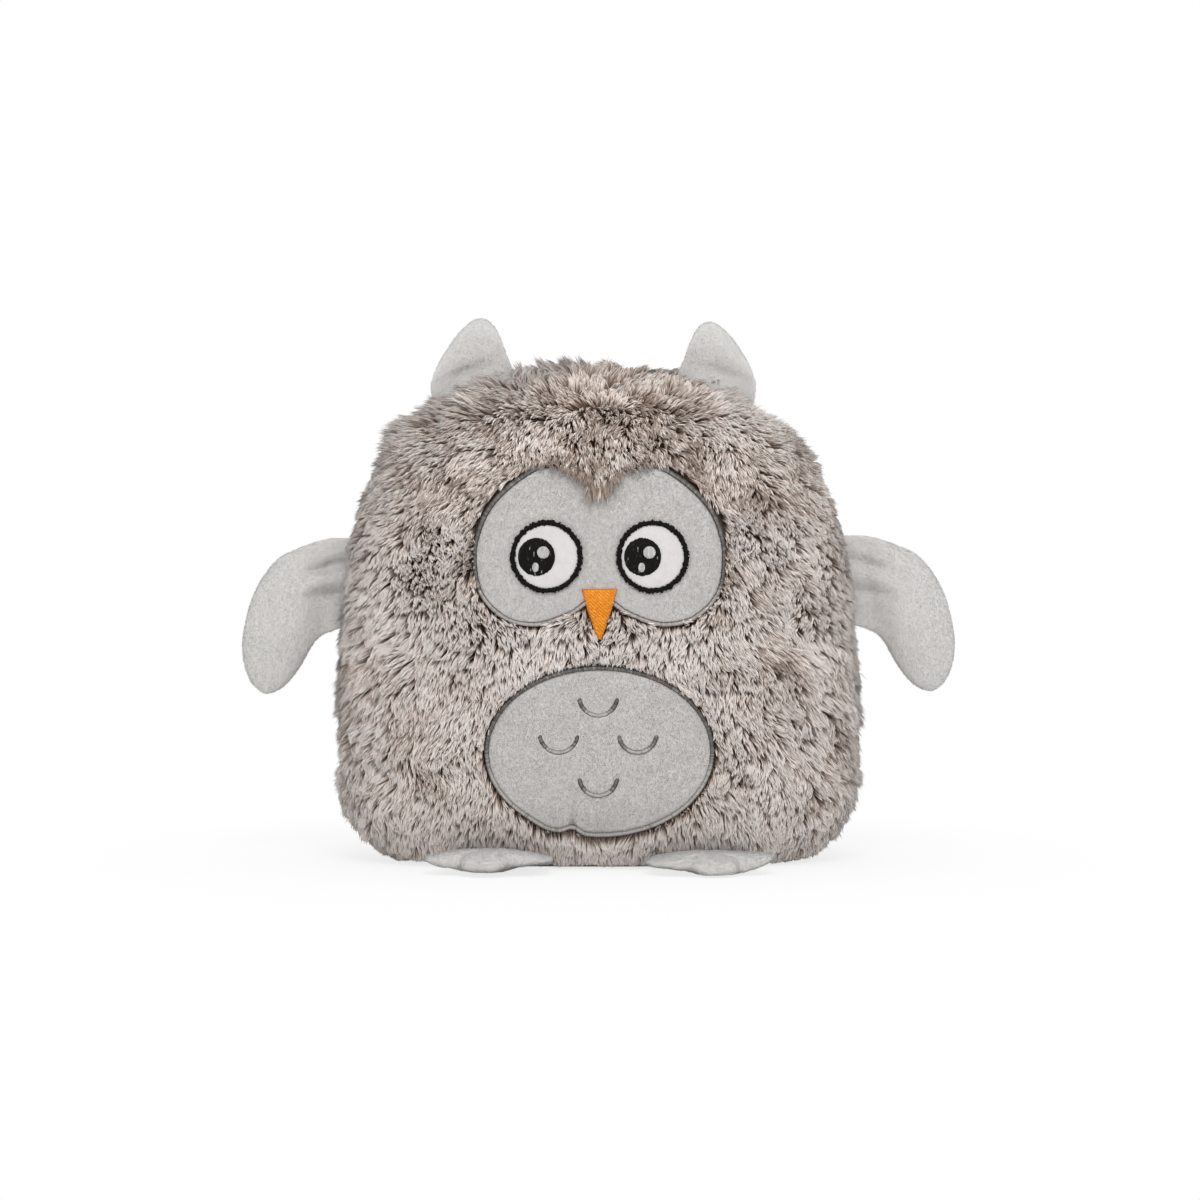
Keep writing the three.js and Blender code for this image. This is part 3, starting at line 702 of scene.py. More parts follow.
def groom(roots, turn, lengths, rise, sway):
    # each line leaves the backing steeply and lies over along the flow
    steps = 5
    here, line = roots, [roots]
    for step in range(steps):
        share = (step + 0.5) / steps
        x, y, z = here.T
        wide, normals = np.abs(x), skinAt(here)
        behind = smoothStep(y, -18, -11)
        brow = smoothStep(z, 126, 138) * smoothStep(-z, -180, -172) * (y < 0)
        middle = bump(x, -1, 9) * brow
        lie = fur["lie"] + (fur["crownLie"] - fur["lie"]) * smoothStep(z, 172, 180) * behind
        lie = lie + (fur["browLie"] - fur["lie"]) * brow * bump(x, 0, 34, 4) - 14 * middle
        lie = lie - 12 * bump(x, 0, 60, 4) * (z < 118)
        temple = smoothStep(z, 132, 144) * (1 - smoothStep(z, 170, 178)) * (y < 0)
        lie = lie - 29 * bump(wide, 46, 28, 4) * temple
        beforeWhorl = smoothStep(z, 158, 170) * (1 - behind) * bump(x, 0, 36)
        lie = lie + (fur["whorlLie"] - lie) * beforeWhorl
        flank = smoothStep(wide, 60, 95) * smoothStep(-z, -165, -150)
        lie = lie + sway + 22 * nearPatch(here, 3) * (y < 0) * (1 - brow) - 17 * flank
        # the peak over the brow lies close from its roots
        atPeak = middle * smoothStep(-z, -164, -156)
        lift = np.radians(rise + (lie - rise) * share ** (0.7 - 0.45 * atPeak))
        flow = furFlow(here, normals, turn)
        here = here + (flow * np.cos(lift)[:, None] + normals * np.sin(lift)[:, None]) * (lengths / steps)[:, None]
        line.append(here)
    return np.stack(line, axis=1)


def keptOff(roots):
    # places where no fur grows: the patches, the seams of the wings and ears, and the base
    x, y, z = roots.T
    wide, (gap, _, upwards) = np.abs(x), patchAt(roots)
    # above and beside a patch the fur is caught in the edge stitching, but it parts from the face's upper sides
    caught = 1.2 * smoothStep(upwards, -0.7, -0.2) * ((wide > 9) | (z > 112)) * smoothStep(z, 84, 92)
    parted = smoothStep(z, 124, 134) * smoothStep(wide, 18, 24)
    caught = caught * (1 - parted) - 0.9 * parted
    onPatch = (gap < 0.4 - caught) & (y < 0)
    atWing = (wide > 85) & (np.abs(z - fur["wingSeam"]) < 18) & (np.abs(y) < 1.6)
    atEar = (z > 170) & (np.abs(wide - fur["earSeam"]) < 17.5) & (np.abs(y) < 1.3)
    return onPatch | atWing | atEar | (z < core["floor"] + 0.3)


def along(lines, shares):
    # points at the given shares of each line
    steps = lines.shape[1] - 1
    place = np.clip(shares, 0, 1) * steps
    low = np.minimum(place.astype(int), steps - 1)
    part = (place - low)[:, :, None]
    row = np.arange(len(lines))[:, None]
    beyond = (np.clip(shares, 1, None) - 1)[:, :, None]
    ends = lines[:, -1] - lines[:, -2]
    return lines[row, low] * (1 - part) + lines[row, low + 1] * part + ends[:, None, :] * steps * beyond


def shortened(lines):
    # cuts each line where it would run over a patch by more than the overlap
    count, steps = lines.shape[:2]
    flat = lines.reshape(-1, 3)
    x, y, z = flat.T
    peak = (8.5 * bump(x, -2.2, 8) + 5 * bump(x, -0.3, 3) - 0.5) * smoothStep(z, 126, 140)
    brow = 1.5 * bump(x, 0, 25, 6) * (z > 138)
    overlap = fur["overlap"] - 1.7 * (1 - smoothStep(z, 82, 92))
    # the beak lies clear of the fur
    byBeak = smoothStep(z, 76, 79) * (1 - smoothStep(z, 103, 107)) * bump(x, 0, 9, 4)
    overlap = overlap - byBeak * (0.6 + smoothStep(z, 82, 92))
    room = (patchAt(flat)[0] + overlap + peak + brow + 99 * (y > 0)).reshape(count, steps)
    room = room + rng.normal(0, 0.5, (count, 1)) * (z.reshape(count, steps) > 138)
    shares = np.linspace(0, 1, steps)
    keep = np.ones(count)
    for step in range(1, steps):
        before, after = room[:, step - 1], room[:, step]
        at = shares[step - 1] + before / np.maximum(before - after, 1e-6) * shares[1]
        keep = np.where((before >= 0) & (after < 0), np.minimum(keep, at), keep)
    # low down, what grows at the very edge stays short
    atEdge = (room[:, 0] < 0) & (lines[:, 0, 2] < 100)
    keep = np.where(atEdge, np.minimum(keep, 0.3), keep)
    return along(lines, keep[:, None] * shares[None, :])


def paintedLightAndShadeOf(roots):
    # painted light and shade in the pile's tint: painted shade over the brow, in the whorl and at the temples, and
    # painted light beside and below the face, at the cheek and near the floor
    x, y, z = roots.T
    brow = smoothStep(z, 136, 146) * (1 - smoothStep(z, 178, 186)) * bump(x, 2, 54, 4)
    whorl = bump(x, -5, 20) * smoothStep(z, 178, 184)
    beside = bump(x, -68, 20, 4) + bump(x, 88, 12, 4)
    below = bump(z, 89, 9, 4) * bump(x, 0, 48, 4)
    low = (1 - smoothStep(z, 10, 34)) * (1 + 0.5 * bump(x, 22, 26) + 0.5 * smoothStep(x, 60, 80))
    temple = bump(np.abs(x), 61, 13) * bump(z, 146, 8)
    cheek = bump(x, 66, 18, 4) * bump(z, 129, 6)
    pale = 0.28 * beside * bump(z, 104, 20, 4) + 0.34 * below + 0.32 * low + 0.3 * cheek
    pale = pale + 0.2 * bump(x, -77, 9) * (1 - smoothStep(z, 40, 56))
    return (pale - 0.36 * brow - 0.3 * whorl - 0.26 * temple) * (1 - smoothStep(y, -20, -6))


def mannerOf(points):
    # how a tuft turns, how long it is, how steeply it starts and how it leans
    x, y, z = points.T
    front = y < 0
    turn = 0.35 * softNoise(points, 30, 3) + 0.5 * softNoise(points, 11, 4)
    onCrown = smoothStep(y, -18, -12) * smoothStep(z, 170, 180)
    turn = turn + 0.7 * softNoise(points, 5, 8) * onCrown
    calm = 1 - 0.45 * bump(x, 0, 58, 4) * (y < -14)
    calm = calm * (1 - 0.6 * bump(x, -68, 18) * bump(z, 112, 15))
    turn = turn * (calm + 0.8 * onCrown) + rng.normal(0, 0.3, len(points))
    lengths = fur["length"] * (1 + rng.normal(0, fur["lengthSpread"], len(points)).clip(-0.4, 0.35))
    lengths = lengths * (0.62 + 0.38 * smoothStep(z, 0, 34))
    changes = (
        # tufts stand longer on the crown, at the peak and on the left shoulder
        (0.42, smoothStep(z, 176, 184) * smoothStep(y, -8, 2)),
        (0.62, bump(x, -1, 6) * smoothStep(-z, -160, -150) * (z > 140) * front),
        (0.65, bump(x, -71, 13) * bump(z, 167, 9)),
        (0.25, bump(x, -68, 8) * bump(z, 178, 5)),
        # they hide the left ear's seam
        (0.45, bump(x, -46, 20, 4) * smoothStep(z, 168, 177) * front),
        # they lie closer before the whorl, and are cut closer beside the patches
        (-0.55, smoothStep(z, 172, 178) * np.clip((2 - y) / 16, 0, 1) * bump(x, 0, 38, 6)),
        (-0.25, nearPatch(points, 1.8) * front * (1 - bump(x, 0, 20, 4) * (z > 130))),
        # and they lie closer low down and at the sides, most on the right
        (-0.15, smoothStep(-z, -36, -14) * smoothStep(np.abs(x), 50, 70)),
        (-0.1, smoothStep(x, 60, 80) * smoothStep(-z, -60, -40)),
        (-0.28, smoothStep(x, 70, 88) * bump(z, 98, 16, 4)),
        (-0.3, bump(x, 62, 11) * bump(z, 174, 6)),
        (-0.4, smoothStep(x, 62, 90) * smoothStep(z, 105, 135)),
        (-0.15, smoothStep(-x, 70, 90) * smoothStep(z, 120, 140)),
    )
    for amount, where in changes:
        lengths = lengths * (1 + amount * where)
    rise = fur["rise"] + 9 * softNoise(points, 9, 5) + rng.normal(0, 7, len(points))
    sway = 12 * softNoise(points, 8, 7) + rng.normal(0, 7, len(points))
    return turn, lengths, rise.clip(30, 88), sway


def makeLocks():
    triangles = trianglesOf(coreQuads, coreTris)
    places, _ = scatter(corePoints, triangles, 160000)
    clumps = places[thinned(places, fur["clumpSize"])]
    more, _ = scatter(corePoints, triangles, 500000)
    roots = more[thinned(more, fur["lockSize"])]
    roots = roots[~keptOff(roots)]
    owner = nearestOf(clumps)(roots)
    # broad tufts turn their own way, so the pile parts between them
    broad = places[thinned(places, fur["partingSize"])]
    nearestBroad = nearestOf(broad)
    broadTurn, broadSway = rng.normal(0, 0.18, len(broad)), rng.normal(0, 5, len(broad))

    def groomed(points):
        turn, lengths, rise, sway = mannerOf(points)
        jitter = np.stack([softNoise(points, 6, s) for s in (81, 82, 83)], axis=1) * 3
        nearest = nearestBroad(points + jitter)
        return groom(points, turn + broadTurn[nearest], lengths, rise, sway + broadSway[nearest])

    clumpLines = groomed(clumps)
    lines = groomed(roots)
    x, y, z = roots.T
    shares = np.linspace(0, 1, lines.shape[1])[None, :, None]
    gathered = clumpLines[owner] + (roots - clumps[owner])[:, None, :] * (1 - 0.75 * shares)
    clumping = fur["clumping"] + 0.22 * smoothStep(z, 172, 182) * smoothStep(y, -18, -12)
    clumping = clumping + 0.24 * smoothStep(np.abs(x), 68, 88)
    lines = shortened(lines + (gathered - lines) * clumping[:, None, None] * shares**0.7)
    # the tint varies at random, with painted light making the right side a little paler
    tint = 0.56 + 0.14 * softNoise(roots, 26, 9) + 0.2 * softNoise(roots, 9, 10) + 0.04 * (x > 0)
    # painted shade darkens it beside the patches, except below them, and it is a little darker on top of the crown
    above = smoothStep(patchAt(roots)[2], -0.7, -0.2) * (y < 0)
    tint = tint - 0.4 * nearPatch(roots, 1.6) * above - 0.12 * smoothStep(z, 176, 183) + paintedLightAndShadeOf(roots)
    tint = tint + 0.17 * softNoise(clumps[owner], 4, 11) + rng.normal(0, 0.15, len(roots))
    return roots, lines, tint


def makeFibres(roots, lines, tint):
    lock = np.repeat(np.arange(len(roots)), fur["fibresInLock"])
    count = len(lock)
    normals = skinAt(roots)
    sideways = unit(np.cross(normals, [0.31, 0.77, 0.55]))
    upwards = np.cross(normals, sideways)
    angle, radius = rng.random(count) * 2 * np.pi, np.sqrt(rng.random(count)) * (fur["lockSize"] * 0.7)
    offset = sideways[lock] * (np.cos(angle) * radius)[:, None] + upwards[lock] * (np.sin(angle) * radius)[:, None]
    reach = (1 + rng.normal(0, 0.07, count)).clip(0.7, 1.15)
    shares = np.array([0, 0.76, 1.0])
    middle = along(lines[lock], reach[:, None] * shares[None, :])
    loose = rng.normal(0, 0.3, (count, 3))
    stray = rng.random(count) < 0.06
    loose[stray] *= 3
    points = middle + offset[:, None, :] * (1 - fur["gathering"] * shares**0.8)[None, :, None]
    points = points + loose[:, None, :] * (shares**1.5)[None, :, None]
    # those that would reach below the floor end a little above it
    lowest = 0.35 + 1.3 * rng.random(count) ** 3 + 0.55 * (1 + softNoise(points[:, 0], 4, 77))
    drop = np.maximum(points[:, 0, 2] - points[:, -1, 2], 1e-3)
    kept = np.clip((points[:, 0, 2] - lowest) / drop, 0.12, 1)
    points = points[:, :1] + (points - points[:, :1]) * kept[:, None, None]
    points[:, :, 2] = np.maximum(points[:, :, 2], 0.3)
    return points, np.clip(tint[lock] + rng.normal(0, 0.17, count), 0.02, 0.98)


def prismStrands(points, tints, outward, width, widths, mapEnds):
    # three-sided fibres that taper to a point, with a closed root
    count, steps = points.shape[:2]
    tangent = np.gradient(points, axis=1)
    side = unit(np.cross(tangent, outward[:, None, :]))
    up = unit(np.cross(tangent, side))
    thick = np.reshape(width, (-1, 1, 1)) * np.asarray(widths)[None, :, None] / 2
    threeWays = [math.radians(a) for a in (90, 210, 330)]
    rings = [points + (side * math.cos(a) + up * math.sin(a)) * thick for a in threeWays]
    sides = np.stack(rings, axis=2)[:, : steps - 1].reshape(count, -1, 3)
    allPoints = np.concatenate([sides, points[:, -1:]], axis=1).reshape(-1, 3)
    perStrand = (steps - 1) * 3 + 1
    first = (np.arange(count) * perStrand)[:, None, None]
    turns, last = ((0, 1), (1, 2), (2, 0)), (steps - 2) * 3
    quads = [(s + a, s + b, s + 3 + b, s + 3 + a) for s in range(0, last, 3) for a, b in turns]
    tris = [(0, 2, 1)] + [(last + a, last + b, perStrand - 1) for a, b in turns]
    faceSets = [(np.array(faces)[None] + first).reshape(-1, len(faces[0])) for faces in (quads, tris) if faces]
    # the map's u is each fibre's tint, with some width, and its v runs from root to tip
    shares = np.linspace(*mapEnds, steps)
    maps = np.zeros((count, perStrand, 2))
    maps[:, :-1, 0] = tints[:, None] + np.tile([-0.008, 0, 0.008], steps - 1)[None]
    maps[:, :-1, 1] = np.repeat(shares[:-1], 3)[None]
    maps[:, -1] = np.stack([tints, np.full(count, shares[-1])], axis=1)
    return allPoints, faceSets, maps.reshape(-1, 2)


def makeFur():
    roots, lines, tint = makeLocks()
    points, tints = makeFibres(roots, lines, tint)
    for name, chosen in (("front", points[:, 0, 1] < 0), ("back", points[:, 0, 1] >= 0)):
        index = np.flatnonzero(chosen)
        index = index[np.argsort(points[index, 0, 0], kind="stable")]
        for number, part in enumerate(np.array_split(index, math.ceil(len(index) / fur["mostInPiece"]))):
            width = fur["fibreWidth"] * (0.8 + 0.4 * rng.random(len(part)))
            outward = skinAt(points[part, 0])
            made, faceSets, maps = prismStrands(
                points[part], tints[part], outward, width, (0.8, 1.05, 0.0), (0.01, 0.99)
            )
            makePiece(
                f"{name}_fur_pile_{number + 1}", made, faceSets, longPileLook, "torso", maps,
                normals=skinAt(made),
            )
    print("fur made,", len(points), "fibres in", len(roots), "locks")


makeFur()


# short plush pile, stood on any surface

# each nap's length, how far it is brushed over, how much its fibres stray, their width, closeness and tint
faceNap, bellyNap = (1.1, 1.0, 0.33, 0.22, 13, 0.23), (1.0, 0.7, 0.45, 0.22, 13, 0.26)
limbNap = (0.8, 0.8, 0.33, 0.3, 6.5, 0.13)
mostInPiece = 48000


def makePile(name, form, lay, nap, bodyName, look, keep=None, rim=None, shade=None):
    points, quads, tris = form
    length, brushed, strayed, width, closeness, speckle = nap
    triangles = trianglesOf(quads, tris)
    if keep is not None:
        triangles = triangles[keep(points[triangles].sum(axis=1) / 3)]
    count = int(np.linalg.norm(crossesOf(points, triangles), axis=1).sum() / 2 * closeness)
    places, normals = scatter(points, triangles, count)
    order = np.argsort(places[:, 0], kind="stable")
    places, normals = places[order], normals[order]
    lean = np.asarray(lay) * brushed + rng.normal(0, strayed, (count, 3))
    lean = lean + 0.05 * np.stack([softNoise(places, 4, s) for s in (31, 32, 33)], axis=1)
    heading = unit(normals + inSurface(lean, normals))
    roots = places - normals * 0.25
    tips = roots + heading * (length * (0.75 + 0.5 * rng.random(count))[:, None])
    strands, outward = np.stack([roots, tips], axis=1), normals + 1e-3
    tints = 0.5 + 0.025 * softNoise(places, 7, 41) + (shade(places) if shade else 0)
    tints = tints + rng.normal(0, speckle, count)
    if rim is not None:
        # at a thin edge the nap of both sides faces outwards, and painted light makes the nap paler there
        nearRim = smoothStep(signedDistance(places[:, [0, 2]], rim), -1.6, -0.4)
        tints = tints + 0.4 * nearRim
        normals[:, 1] *= 1 - 0.5 * nearRim
        normals = unit(normals)
    tints = np.clip(tints, 0.03, 0.97)
    parts = math.ceil(count / mostInPiece)
    for number, part in enumerate(np.array_split(np.arange(count), parts)):
        made, faceSets, maps = prismStrands(strands[part], tints[part], outward[part], width, (1, 0), (0.02, 0.98))
        makePiece(
            name if parts == 1 else f"{name}_{number + 1}", made, faceSets, look, bodyName, maps,
            normals=np.repeat(normals[part], 4, axis=0),
        )


# face and belly of short plush

eye = {
    "spread": 20.35, "middle": 121, "ring": 13.9, "ringWidth": 1.9, "pupil": 7.1, "glance": 3.8,
    "bigGlint": (2.6, 1.7, 2.4, 2.4), "smallGlint": (-0.4, -4, 1.3, 1.85),
}
mark = {
    "radius": 7.25, "width": 1.45, "halfSweep": 1.48, "height": 0.8, "high": 21.3, "side": (15.15, 7.1), "low": -9.5,
}
# how far inside its outline a patch's pile starts, beside the edge stitching
pileInset = 1.45
faceEdge, bellyEdge = faceOutline(120), bellyOutline(120)


def makePatch(name, outline, middle, shape, replaced):
    # a plush panel that follows the body, closed at its rim and back
    centre = np.array([[0, middle]])

    def ringAt(share):
        flat = centre + share * (outline - centre)
        return onFront(flat, layers["patch"], -shape(flat))

    rings = [ringAt(share) for share in 1 - (1 - np.linspace(0.02, 1, 60)) ** 1.3]
    front = ringAt(0)[:1]
    rim, back = (line + [0, layers["patchThickness"], 0] for line in (rings[-1], front))
    inner = (rim + back) / 2
    inner[:, 1] = frontY(inner[:, 0], inner[:, 2], layers["patch"] + layers["patchThickness"])
    form = closedSkin(front, [*rings, rim, inner], back)
    makePiece(name, form[0], form[1:], plushGroundLook, "torso", replaced=(replaced,))
    return form


def fromEye(flat):
    # distance from the middle of the nearer eye
    return np.hypot(np.abs(flat[:, 0]) - eye["spread"], flat[:, 1] - eye["middle"])


def puffAtEdge(flat, edge):
    return 0.35 * smoothStep(-signedDistance(flat, edge), 2.6, 0.6)


def facePuff(flat):
    # soft unevenness, and a hollow where the embroidery of each eye draws the plush in
    lift = 0.35 * softNoise(placed(flat), 17, 51) + 0.12 * softNoise(placed(flat), 6, 52)
    return lift + 0.35 * bump(fromEye(flat), eye["ring"] + 0.3, 1.6) + puffAtEdge(flat, faceEdge)


def bellyPuff(flat):
    # soft unevenness, and a fold where the lower edge is caught up
    lift = 0.3 * softNoise(placed(flat), 19, 55) + 0.12 * softNoise(placed(flat), 6, 56)
    fold = bump(flat[:, 0], belly["pucker"], 1.2) * bump(flat[:, 1], belly["middle"] - belly["height"] / 2, 8)
    return lift + 2.2 * fold + puffAtEdge(flat, bellyEdge)


def atFront(centres, edge):
    # the front of a patch, inside its edge stitching
    level = frontY(centres[:, 0], centres[:, 2], layers["patch"] + 1.4)
    return (signedDistance(centres[:, [0, 2]], edge) < -pileInset) & (centres[:, 1] < level)


def onFace(centres):
    flat = centres[:, [0, 2]]
    onBeak = (np.abs(flat[:, 0]) < beakHalfWidth(flat[:, 1]) + 0.2) & (flat[:, 1] < beak["top"] + 0.3)
    return atFront(centres, faceEdge) & (fromEye(flat) > eye["ring"] - 0.5) & ~onBeak


def onBelly(centres):
    clear = atFront(centres, bellyEdge)
    for x, z in markPlaces():
        offX, offZ = (centres[:, [0, 2]] - [x, z]).T
        sweep = np.abs(np.arctan2(offX, -offZ)) < mark["halfSweep"] + 0.08
        clear &= ~((np.abs(np.hypot(offX, offZ) - mark["radius"]) < mark["width"] / 2 + 0.05) & sweep)
    return clear


def markPlaces():
    sideX, sideZ = mark["side"]
    rises = [(0, mark["high"]), (-sideX, sideZ), (sideX, sideZ), (0, mark["low"])]
    return [(x - 0.5, belly["middle"] + z) for x, z in rises]


def bellyFoldPaintedShade(places):
    # painted shade darkens the nap in the fold where the belly's edge is caught up, and the whole belly nap is a touch
    # darker
    height = places[:, 2] - (belly["middle"] - belly["height"] / 2)
    return -0.5 * bump(places[:, 0], belly["pucker"], 0.9) * bump(height, 3, 3.5) - 0.05


faceForm = makePatch("face_plush", faceOutline(360), face["middle"], facePuff, "face_patch")
bellyForm = makePatch("belly_plush", bellyOutline(360), belly["middle"], bellyPuff, "belly_patch")
makePile("face_plush_pile", faceForm, (0, 0, -1), faceNap, "torso", facePileLook, keep=onFace)
makePile(
    "belly_plush_pile", bellyForm, (0.3, 0, -1), bellyNap, "torso", facePileLook, keep=onBelly, shade=bellyFoldPaintedShade
)
print("face and belly made")


# embroidery

satin = {"halfWidth": 0.78, "height": 0.75}


def satinBand(
    name, path, halfWidth, depth, height, slotName, replaced,
    thread=0.42, ragged=0.0, closed=True, endShade=0.0, shade=None,
):
    # threads laid side by side across a line, each one a small arch, bound under the cloth at both ends
    whole = np.vstack([path, path[:1]]) if closed else path
    stitches = max(int(np.linalg.norm(np.diff(whole, axis=0), axis=1).sum() / thread), 8)
    count = stitches * 4 + (0 if closed else 1)
    line = evenly(path, count, closed)
    tangent = unit(np.roll(line, -1, axis=0) - np.roll(line, 1, axis=0) if closed else np.gradient(line, axis=0))
    normal = np.stack([tangent[:, 1], -tangent[:, 0]], axis=1)
    index = np.arange(count)
    stitch, fromEnd = index // 4, np.minimum(index, count - 1 - index)
    groove = np.abs(np.sin(np.pi * (index % 4) / 4 + np.pi / 8))
    outer = 1 + ragged * rng.random(stitches + 1)[stitch]
    inner = 1 + ragged * rng.random(stitches + 1)[stitch]
    if not closed:
        narrowed = np.clip(fromEnd / 5, 0.25, 1) ** 0.5
        outer, inner = outer * narrowed, inner * narrowed
    profile = np.array([-1, -0.92, -0.6, -0.2, 0.2, 0.6, 0.92, 1])
    rows = []
    for share in profile:
        wide = halfWidth * share * (outer if share > 0 else inner)
        at = line + normal * wide[:, None] + tangent * (0.25 * thread * share)
        arch = height * math.sqrt(max(1 - share**2, 0)) ** 0.6 * (0.72 + 0.28 * groove)
        rows.append(onFront(at, depth, arch + 0.18 * height * (abs(share) < 1)))
    for share in (0.9, -0.9):
        rows.append(onFront(line + normal * (halfWidth * share), depth + 0.35))
    # the map's u is each stitch's tint and its v runs across the band, where the thread's look paints shade at the
    # edges
    tints = (0.58 + 0.1 * rng.normal(0, 1, stitches + 1)).clip(0.1, 0.95)[stitch]
    tints = tints - endShade * (1 - smoothStep(fromEnd / count, 0.12, 0.4)) + (shade(line) if shade else 0)
    columns = len(rows)
    maps = np.zeros((count, columns, 2))
    maps[:, :, 0] = np.clip(tints, 0.03, 0.97)[:, None] + 0.012 * ((index % 4) / 1.5 - 1)[:, None]
    maps[:, :, 1] = 0.01 + 0.98 * np.concatenate([(profile + 1) / 2, [0.9, 0.1]])[None]
    faceSets = [gridFaces(count, columns, closedRows=closed, closedColumns=True)]
    if not closed:
        column = np.arange(columns)
        faceSets += [column[None, :], ((count - 1) * columns + column)[None, ::-1]]
    points = np.stack(rows, axis=1).reshape(-1, 3)
    look = threadLooks[slotName]
    makePiece(name, points, faceSets, look, "torso", maps.reshape(-1, 2), replaced=replaced)


def stitchedFill(
    name, low, high, edges, depth, height, slotName, replaced,
    upright=False, thread=0.42, ragged=0.0, stitch=2.6,
):
    # rows of thread that fill a shape; edges gives where a row starts and ends
    count, columns = int((high - low) / (thread / 4)), 48
    level = np.linspace(low, high, count)
    threadNumber = np.floor((level - low) / thread).astype(int)

    def perThread():
        return rng.random(threadNumber.max() + 1)[threadNumber]

    start, end = edges(level)
    start = start - ragged * perThread()
    end = end + ragged * perThread()
    share = np.linspace(0, 1, columns)
    across = start[:, None] + (end - start)[:, None] * share[None]
    row = np.repeat(level[:, None], columns, axis=1)
    ridge = np.abs(np.sin(np.pi * (level - low) / thread))[:, None]
    # the stitches end in staggered dips, as a fill stitch does
    place = across + (threadNumber * 0.36 * stitch + 0.12 * stitch * perThread())[:, None]
    hole = (0.5 - np.abs((place / stitch) % 1 - 0.5)) * stitch
    rim = np.minimum(share, 1 - share)[None] * (end - start)[:, None]
    ends = np.minimum(level - low, high - level)[:, None]
    dome = np.clip(np.minimum(rim, ends + 0.15) / 0.9, 0, 1) ** 0.5
    lift = height * dome * (0.78 + 0.22 * ridge - 0.12 * bump(hole, 0, 0.3))
    flat = np.stack([row, across] if upright else [across, row], axis=-1).reshape(-1, 2)
    front, back = onFront(flat, depth, lift.ravel()), onFront(flat, depth + 0.3)
    # the map's u is each stitch's tint, and its v falls to 0 at the needle holes and the rim, where the thread's look
    # paints shade
    stitchNumber = np.floor(place / stitch).astype(int) + 7 * threadNumber[:, None]
    tints = rng.random(4096)[stitchNumber % 4096] * 0.94 + 0.02
    maps = np.zeros((2, count, columns, 2))
    maps[:, :, :, 0] = tints + 0.008 * (np.arange(count) % 4)[:, None]
    clearOf = np.clip(np.minimum(hole / 0.5 + 0.1, np.minimum(rim, ends) / 0.45 + 0.1), 0, 1)
    maps[:, :, :, 1] = 0.02 + 0.9 * clearOf + 0.03 * share[None]
    maps[1] += 0.01
    quads = gridFaces(count, columns)
    rimIndex = np.concatenate([
        np.arange(columns),
        np.arange(1, count) * columns + columns - 1,
        (count - 1) * columns + np.arange(columns - 2, -1, -1),
        np.arange(count - 2, 0, -1) * columns,
    ])
    after, total = np.roll(rimIndex, -1), len(front)
    walls = np.stack([rimIndex, after, after + total, rimIndex + total], axis=1)
    faceSets = [quads if upright else quads[:, ::-1], (quads[:, ::-1] if upright else quads) + total, walls]
    points, look = np.vstack([front, back]), threadLooks[slotName]
    makePiece(name, points, faceSets, look, "torso", maps.reshape(-1, 2), replaced=replaced)


def insetLine(outline, distance):
    tangent = unit(np.roll(outline, -1, axis=0) - np.roll(outline, 1, axis=0))
    normal = np.stack([tangent[:, 1], -tangent[:, 0]], axis=1)
    turned = np.cross(outline, np.roll(outline, -1, axis=0)).sum()
    return outline - normal * distance * (1 if turned > 0 else -1)


def edgeSatin(name, outline, darkness, low, high):
    # the fur's shadow dulls the thread above, but not low down
    satinBand(
        f"{name}_edge_satin", insetLine(outline, satin["halfWidth"]), satin["halfWidth"], layers["patch"],
        satin["height"], "grey_thread", (f"{name}_edge_stitching",), ragged=0.3,
        shade=lambda line: -darkness * smoothStep(line[:, 1], low, high),
    )


def discEdges(centre, level, radiusAcross, radiusLevel):
    def edges(places):
        half = radiusAcross * np.sqrt(np.clip(1 - ((places - level) / radiusLevel) ** 2, 0.002, 1))
        return centre - half, centre + half
    return edges


def makeFelt(name, x, z, radius, replaced):
    # a felt disc with a rounded edge, laid on the face
    centre = np.array([[x, z]])
    outline = ovalOutline(x, z, radius, radius, 160)
    rings = []
    for share in [*np.linspace(0.03, 0.9, 26), 0.94, 0.97, 0.99, 1.0]:
        flat = centre + share * (outline - centre)
        full = (1 - share**10) ** 0.5
        lift = layers["felt"] * (0.25 + 0.75 * full) + 0.07 * softNoise(placed(flat), 2.2, 61) * full
        rings.append(onFront(flat, layers["patch"], lift))
    front = onFront(centre, layers["patch"], layers["felt"])
    form = closedSkin(front, [*rings, rings[-1] + [0, 0.5, 0]], front + [0, layers["felt"] + 0.25, 0])
    makePiece(name, form[0], form[1:], whiteFeltLook, "torso", replaced=(replaced,))


def embroiderEye(name, side):
    eyeX, pupilX = side * eye["spread"], side * eye["spread"] - eye["glance"]
    makeFelt(f"{name}_eye_white", eyeX, eye["middle"], eye["ring"] - eye["ringWidth"] + 0.25, f"{name}_eye_felt")
    middle = eye["ring"] - eye["ringWidth"] / 2
    satinBand(
        f"{name}_eye_satin_ring", ovalOutline(eyeX, eye["middle"], middle, middle, 360),
        eye["ringWidth"] / 2 - 0.28, layers["patch"] - 0.15, 1.15, "black_thread", (f"{name}_eye_ring",),
        ragged=1.05, thread=0.5,
    )
    onFelt = layers["patch"] - layers["felt"]
    stitchedFill(
        f"{name}_pupil_satin", pupilX - eye["pupil"], pupilX + eye["pupil"],
        discEdges(eye["middle"], pupilX, eye["pupil"], eye["pupil"]),
        onFelt, 0.7, "black_thread", (f"{name}_pupil",), upright=True, ragged=0.35, stitch=1.1,
    )
    for kind, glint in (("big_glint", "bigGlint"), ("small_glint", "smallGlint")):
        dx, dz, wide, tall = eye[glint]
        stitchedFill(
            f"{name}_{kind}_satin", pupilX + dx - wide, pupilX + dx + wide,
            discEdges(eye["middle"] + dz, pupilX + dx, tall, wide),
            onFelt - 0.35, 0.75, "silver_thread", (f"{name}_{kind}",), upright=True, ragged=0.15,
        )


